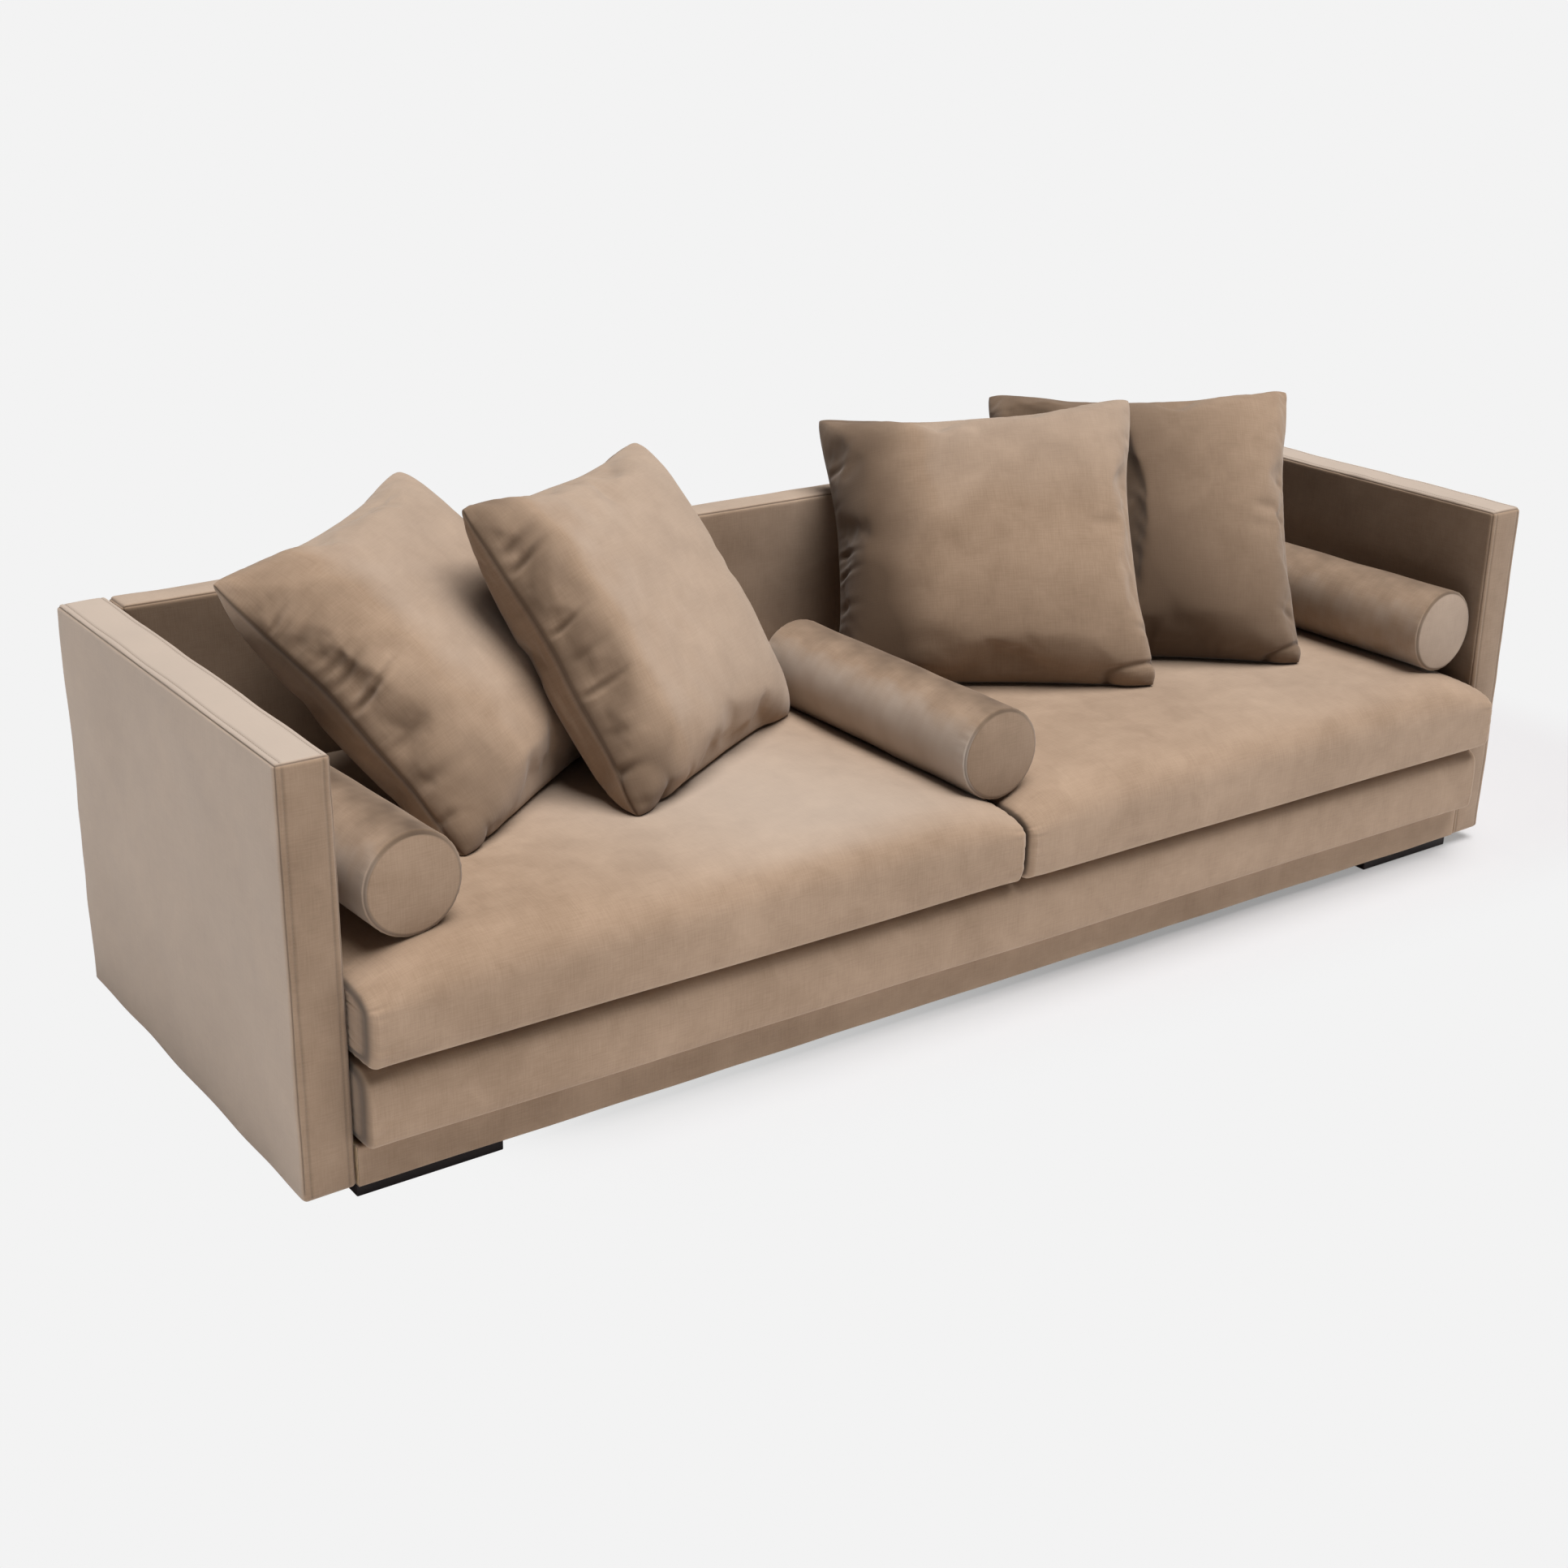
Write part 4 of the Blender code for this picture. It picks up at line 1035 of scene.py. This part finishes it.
def pillow_grid(cells):
    """Two square panels that share their outer edge: places u and v from -1 to 1, side 1 or -1, and faces."""
    line = np.linspace(-1.0, 1.0, cells + 1)
    line = 0.5 * line + 0.5 * np.sin(line * math.pi / 2)
    size = cells + 1
    front = np.arange(size * size).reshape(size, size)
    back = front.copy()
    back[1:-1, 1:-1] = size * size + np.arange((size - 2) ** 2).reshape(size - 2, size - 2)
    u, v = np.meshgrid(line, line, indexing="ij")
    inner = (slice(1, -1), slice(1, -1))
    edge = np.zeros((size, size))
    edge[inner] = 1.0
    u_all = np.concatenate((u.ravel(), u[inner].ravel()))
    v_all = np.concatenate((v.ravel(), v[inner].ravel()))
    face_side = np.concatenate((edge.ravel(), -np.ones((size - 2) ** 2)))
    faces = []
    for panel, step in ((front, 1), (back, -1)):
        for i in range(cells):
            for j in range(cells):
                quad = (panel[i, j], panel[i + 1, j], panel[i + 1, j + 1], panel[i, j + 1])
                faces.append([int(corner) for corner in quad[::step]])
    return u_all, v_all, face_side, faces


def pillow_shape(number, u, v, face_side):
    """A cushion's panels before filling, drawn in at the edges and a little uneven, and their flat cloth."""
    half_width, half_height = SCATTER_SIZES[number]
    x = half_width * u * (1.0 - SCATTER_DRAW * (1.0 - v ** 2))
    y = half_height * v * (1.0 - SCATTER_DRAW * (1.0 - u ** 2))
    crown = (1.0 - np.abs(u) ** SCATTER_CROWN_EDGE) * (1.0 - np.abs(v) ** SCATTER_CROWN_EDGE)
    crown = np.clip(crown, 0.0, None) ** SCATTER_CROWN
    z = face_side * SCATTER_DEEP * SCATTER_START * crown * (1.0 - SCATTER_TOP_THINNER * v)
    points = np.column_stack((x, y, z))
    uneven = [ripple(points, SCATTER_UNEVEN_WAVES, 70 + 3 * number + axis) for axis in range(3)]
    return points + SCATTER_UNEVEN * np.column_stack(uneven), np.column_stack((x, y))


def straighten(points, u, v, half_width, half_height):
    """Bring the sewn edges back towards straight, the lower one the most, as it bears the weight."""
    for axis, across, along, half in ((0, u, v, half_width), (1, v, u, half_height)):
        for sign in (-1, 1):
            seam = np.flatnonzero(across * sign > SCATTER_ON_SEAM)
            seam = seam[np.argsort(along[seam])]
            corner = np.abs(along[seam]) ** SCATTER_CORNER_POWER
            wanted = half * (1.0 - SCATTER_DRAW * (1.0 - along[seam] ** 2)) - SCATTER_CORNER * corner
            hold = SCATTER_LOWER_HOLD if axis == 1 and sign < 0 else SCATTER_SIDE_HOLD
            hold = hold + (1.0 - hold) * along[seam] ** 2
            lost = np.interp(along, along[seam], hold * (sign * wanted - points[seam, axis]))
            points[:, axis] += lost * limited(across * sign) ** 2
    return points


def smooth_lower(points, u, v):
    """Take the wrinkles out of the lower part of a cushion's front panel, which its weight draws taut."""
    size = SCATTER_CELLS + 1
    panel = slice(0, size * size)
    bulge = points[panel, 2].reshape(size, size)
    reach = 3 * SCATTER_SMOOTH_CELLS
    weights = bell(np.arange(-reach, reach + 1), SCATTER_SMOOTH_CELLS)
    spread = np.pad(bulge, ((reach, reach), (0, 0)), "edge")
    even = sum(weight * spread[k:k + size] for k, weight in enumerate(weights)) / weights.sum()
    share = limited((SCATTER_SMOOTH_FROM - v[panel]) / SCATTER_SMOOTH_SPAN)
    share *= 1.0 - np.abs(u[panel]) ** 6
    points[panel, 2] += share * (even - bulge).ravel()
    return points


def seat_height(x, y):
    """How high the velour of the seats lies under a place, or a very low level beside them."""
    heights = [seat.ray_cast(Vector((x, y, 1.0)), Vector((0.0, 0.0, -1.0))) for seat in seats]
    return max((spot.z for hit, spot, normal, face in heights if hit), default=-1.0)


def settle(points, u, v):
    """Let the lower edge sag onto the seat, and flatten whatever would sink into it."""
    seam = np.flatnonzero(v < -SCATTER_ON_SEAM)
    seam = seam[np.argsort(u[seam])]
    gaps = [max(0.0, z - max(SCATTER_SEAT_LEAST, seat_height(x, y))) for x, y, z in points[seam]]
    drop = np.interp(u, u[seam], np.minimum(np.array(gaps) - SCATTER_CLEAR, SCATTER_SAG_MOST))
    sag = limited((SCATTER_SAG_FROM - v) / SCATTER_SAG_SPAN) ** SCATTER_SAG_POWER
    points[:, 2] -= drop * sag
    for number in np.flatnonzero(v < 0.0):
        floor_height = seat_height(points[number, 0], points[number, 1]) + SCATTER_CLEAR
        points[number, 2] = max(points[number, 2], floor_height)
    return points


def make_room(points, neighbours):
    """Dent a cushion where it would sink into a neighbour, which lies still or is lifted off past it."""
    for neighbour, lifts in neighbours:
        corners = np.array([tuple(corner) for corner in neighbour.bound_box])
        for lift in lifts:
            lowered = points - np.array(lift)
            near = ((lowered > corners.min(axis=0)) & (lowered < corners.max(axis=0))).all(axis=1)
            for number in np.flatnonzero(near):
                point = Vector(lowered[number])
                hit, spot, normal, face = neighbour.ray_cast(point, Vector((0.0, 0.0, 1.0)))
                if hit and normal.z > 0.0:
                    found, spot, normal, face = neighbour.closest_point_on_mesh(point)
                    points[number] = spot + SCATTER_ROOM * normal + lift
    return points


def edge_gathers(number, across, up, face_side):
    """How far the gathers along a cushion's four edges lift its cloth."""
    half_width, half_height = SCATTER_SIZES[number]
    from_side, from_end = half_width - np.abs(across), half_height - np.abs(up)
    edges = (("left", -across, from_side, up), ("right", across, from_side, up),
             ("low", -up, from_end, across), ("top", up, from_end, across))
    lift = np.zeros(len(across))
    for order, (edge, toward, distance, along) in enumerate(edges):
        span = 2 * np.abs(along).max()
        for panel in (1, -1):
            rows = random_gathers(100 * number + 10 * order + panel, span, SCATTER_GATHER_SPACING,
                                  SCATTER_GATHER_LENGTH, SCATTER_GATHER_DEPTH[edge], SCATTER_GATHER_WIDTH)
            rows = [(place - span / 2, *rest) for place, *rest in rows]
            rows += SCATTER_FOLDS[number].get(edge, []) if panel > 0 else []
            lift += np.where((toward > 0) & (face_side * panel >= 0), gathers(distance, along, rows), 0.0)
    return lift


def ear_fold(number, across, up, face_side):
    """How deep the fold round a cushion's ear is. The ear itself is a little plump."""
    half_width, half_height = SCATTER_SIZES[number]
    (ear_x, ear_y), ear_along, ear_up, depth, fade = SCATTER_EARS[number]
    ear_across = np.abs(across - ear_x * half_width) / ear_along
    ear_above = np.abs(up - ear_y * half_height) / ear_up
    swing = np.arctan2(ear_above, ear_across)
    from_ear = np.hypot(ear_across, ear_above) * (1.0 + EAR_WAVER * np.sin(EAR_WAVES * swing + number))
    fold = bell(from_ear - 1.0, EAR_WIDTH) * (1.0 - fade * np.sin(2.0 * swing) ** 2)
    fold -= EAR_PLUMP * bell(from_ear - EAR_PLUMP_AT, EAR_PLUMP_WIDTH)
    return depth * fold * limited(3.0 * face_side)


def cushion_painted_shading(number, points, across, up, face_side, folded):
    """Painted light and shade on a cushion: an even painted value all over, painted light towards the top,
    painted shade along the left and lower edges and in the grooves of its folds, painted light on the lips of
    the folds, and the pile's random mottle on the left.
    """
    half_width, half_height = SCATTER_SIZES[number]
    painted_level, top_painted_light, side_painted_shade, side_reach, low_painted_shade, low_reach = SCATTER_PAINTED_SHADING[number]
    from_left = across + half_width
    near_left = limited((side_reach - from_left) / (SCATTER_SIDE_FADE * side_reach))
    near_left = near_left ** 2 * (3.0 - 2.0 * near_left)
    near_low = limited(1.0 - (up + half_height) / low_reach)
    mottle = SCATTER_MOTTLE * ripple(points, SCATTER_MOTTLES, 80 + number)
    mottle *= np.exp(-from_left / SCATTER_MOTTLE_REACH)
    nap = painted_level + top_painted_light * limited(up / half_height) + side_painted_shade * near_left + low_painted_shade * near_low
    nap = nap + mottle - SCATTER_FOLD_PAINTED_SHADING * folded
    return np.where(face_side > 0, nap, SCATTER_REAR_PAINTED_SHADING[number])


neighbours = [(piece, [Vector()]) for piece in (back, *bolsters)]
for number, angles in SCATTER_LEANS.items():
    bpy.context.view_layer.update()
    low, high = box_corners(f"scatter_{number}_filling")
    turn, tilt, roll = (math.radians(angle) for angle in angles)
    heading = Matrix.Rotation(turn, 3, "Z") @ Matrix.Rotation(math.pi / 2 - tilt, 3, "X")
    heading = np.array(heading @ Matrix.Rotation(roll, 3, "Z"))
    half_width, half_height = SCATTER_SIZES[number]
    u, v, face_side, faces = pillow_grid(SCATTER_CELLS)
    points, cloth = pillow_shape(number, u, v, face_side)
    pillow = loose_piece(f"scatter_{number}_form", points, faces, cloth[np.array(faces).ravel()])
    to_seam = np.minimum(half_width * (1.0 - np.abs(u)), half_height * (1.0 - np.abs(v)))
    tight = bell(to_seam, SCATTER_SEAM_REACH)
    points = fill_out(pillow, tight, SCATTER_PRESSURE, SCATTER_SEAM_PULL, SCATTER_SWELL, may_sink=True)
    points = straighten(smooth_lower(points, u, v), u, v, half_width, half_height)
    points = points @ heading.T + (low + high) / 2
    points = make_room(settle(points, u, v), neighbours)
    pillow_mesh, points, normals, marks = refine(pillow, points, {"u": u, "v": v, "side": face_side}, 2)
    face_side = marks["side"]
    across, up = marks["u"] * half_width, marks["v"] * half_height
    to_seam = np.minimum(half_width - np.abs(across), half_height - np.abs(up))
    lift = edge_gathers(number, across, up, face_side) - ear_fold(number, across, up, face_side)
    folded = np.clip(lift / SCATTER_FOLD_DEEP, -1.0, SCATTER_FOLD_HIGH)
    lift -= SCATTER_SUNK * bell(to_seam, SCATTER_SUNK_WIDTH)
    points += normals * (lift + SCATTER_WAVE * ripple(points, SCATTER_WAVES, 60 + number))[:, None]
    pillow_mesh.vertices.foreach_set("co", points.ravel())
    pillow_mesh.update()
    # Painted light and shade on the cushion, and its dark seam lines with painted shade of their grooves.
    nap = cushion_painted_shading(number, points, across, up, face_side, folded)
    mark_seams_and_shading(pillow_mesh, SCATTER_DARK * bell(to_seam, SCATTER_DARK_WIDTH), nap)
    nodes = [f"scatter_{number}_cover", f"scatter_{number}_filling", f"scatter_{number}_zip"]
    cushion = dress(f"scatter_{number}_velour", pillow_mesh, f"scatter_{number}", nodes)
    rise = Matrix.Rotation(turn, 3, "Z") @ Vector((0.0, math.sin(tilt), math.cos(tilt)))
    steps = np.linspace(0.0, SCATTER_TRAVEL, SCATTER_STEPS).tolist()
    neighbours.append((cushion, [step * rise for step in steps]))

# Studio: a pale floor without an edge, a broad soft light from above and a pale surround.
# The surround shows to the camera as near white, and lights the velour more gently.
PAPER = (0.896, 0.896, 0.896, 1.0)
FLOOR_COLOUR = (0.90, 0.90, 0.91, 1.0)
FLOOR_SIZE = 40.0
FLOOR_SHOWN = (0.535, 0.522, 0.530, 1.0)
FLOOR_SHADOW_MIDDLE = (0.55, 0.0, 0.0)
FLOOR_FOOTPRINT = (1.30, 0.41, 0.0)
FLOOR_SHADOW_REACH = 0.30
FLOOR_SHADOW = 0.54
FLOOR_SHADOW_SLOPE = 0.42
FLOOR_SHADOW_MOST = 0.66
SURROUND_LIGHT = 0.05
KEY_ENERGY = 4.8
KEY_SPREAD = math.radians(44.0)
KEY_TILT = (math.radians(12.0), math.radians(10.0), 0.0)
LEFT_CARD = {"energy": 6.0, "size": (2.4, 0.6), "place": (-3.0, -0.1, 0.32), "facing": (1.0, 0.0, 0.0)}
FRONT_CARD = {"energy": 5.0, "size": (3.6, 0.6), "place": (0.3, -3.0, 0.32), "facing": (0.0, 1.0, 0.0)}

reach = FLOOR_SIZE / 2
floor_corners = [(-reach, -reach, 0), (reach, -reach, 0), (reach, reach, 0), (-reach, reach, 0)]
floor_mesh = bpy.data.meshes.new("floor")
floor_mesh.from_pydata(floor_corners, [], [(0, 1, 2, 3)])
floor = put_in_scene("floor", floor_mesh)
paper, shader, place = new_finish("paper_floor", {"Roughness": 1.0, "Specular IOR Level": 0.0})
seen = place.node("ShaderNodeLightPath", out="Is Camera Ray")
seen.mix(FLOOR_COLOUR, FLOOR_SHOWN).into(shader, "Base Color")
nowhere = (0.0, 0.0, 0.0)
away = place
for operation, second in (("SUBTRACT", FLOOR_SHADOW_MIDDLE), ("ABSOLUTE", nowhere),
                          ("SUBTRACT", FLOOR_FOOTPRINT), ("MAXIMUM", nowhere)):
    away = place.node("ShaderNodeVectorMath", {"operation": operation}, {0: away, 1: second})
away = place.node("ShaderNodeVectorMath", {"operation": "LENGTH"}, {0: away}, out=1)
far = place.node("ShaderNodeMapRange", {"interpolation_type": "SMOOTHSTEP"},
                 {"Value": away, "From Min": 0.0, "From Max": FLOOR_SHADOW_REACH})
along = place.node("ShaderNodeSeparateXYZ", None, {0: place})
shade = place.maths("MINIMUM", FLOOR_SHADOW + FLOOR_SHADOW_SLOPE * along, FLOOR_SHADOW_MOST)
share = seen * (1.0 - shade * (1.0 - far))
shaded = Link(paper.node_tree, shader.outputs[0])
glow = place.node("ShaderNodeEmission", None, {"Color": PAPER})
ground = place.node("ShaderNodeMixShader", None, {0: share, 1: shaded, 2: glow})
ground.into(paper.node_tree.nodes["Material Output"], "Surface")
floor_mesh.materials.append(paper)

surround = bpy.data.worlds.new("surround")
bpy.context.scene.world = surround
surround.use_nodes = True
start = Link(surround.node_tree)
by_camera, by_gloss, by_glass = (start.node("ShaderNodeLightPath", out=f"Is {kind} Ray")
                                 for kind in ("Camera", "Glossy", "Transmission"))
shows = start.maths("MAXIMUM", start.maths("MAXIMUM", by_camera, by_gloss), by_glass)
dim = start.node("ShaderNodeBackground", None, {"Color": (1.0, 1.0, 1.0, 1.0), "Strength": SURROUND_LIGHT})
pale = start.node("ShaderNodeBackground", None, {"Color": PAPER, "Strength": 1.0})
sky = start.node("ShaderNodeMixShader", None, {0: shows, 1: dim, 2: pale})
sky.into(surround.node_tree.nodes["World Output"], "Surface")

key_light = bpy.data.lights.new("key", "SUN")
key_light.energy = KEY_ENERGY
key_light.angle = KEY_SPREAD
key = put_in_scene("key", key_light)
key.rotation_euler = KEY_TILT

for name, card in (("left_card", LEFT_CARD), ("front_card", FRONT_CARD)):
    card_light = bpy.data.lights.new(name, "AREA")
    card_light.shape = "RECTANGLE"
    card_light.size, card_light.size_y = card["size"]
    card_light.energy = card["energy"]
    lamp = put_in_scene(name, card_light)
    turned = Vector(card["facing"]).to_track_quat("-Z", "Y").to_matrix().to_4x4()
    lamp.matrix_world = Matrix.Translation(card["place"]) @ turned

bpy.context.scene.view_settings.view_transform = "Standard"
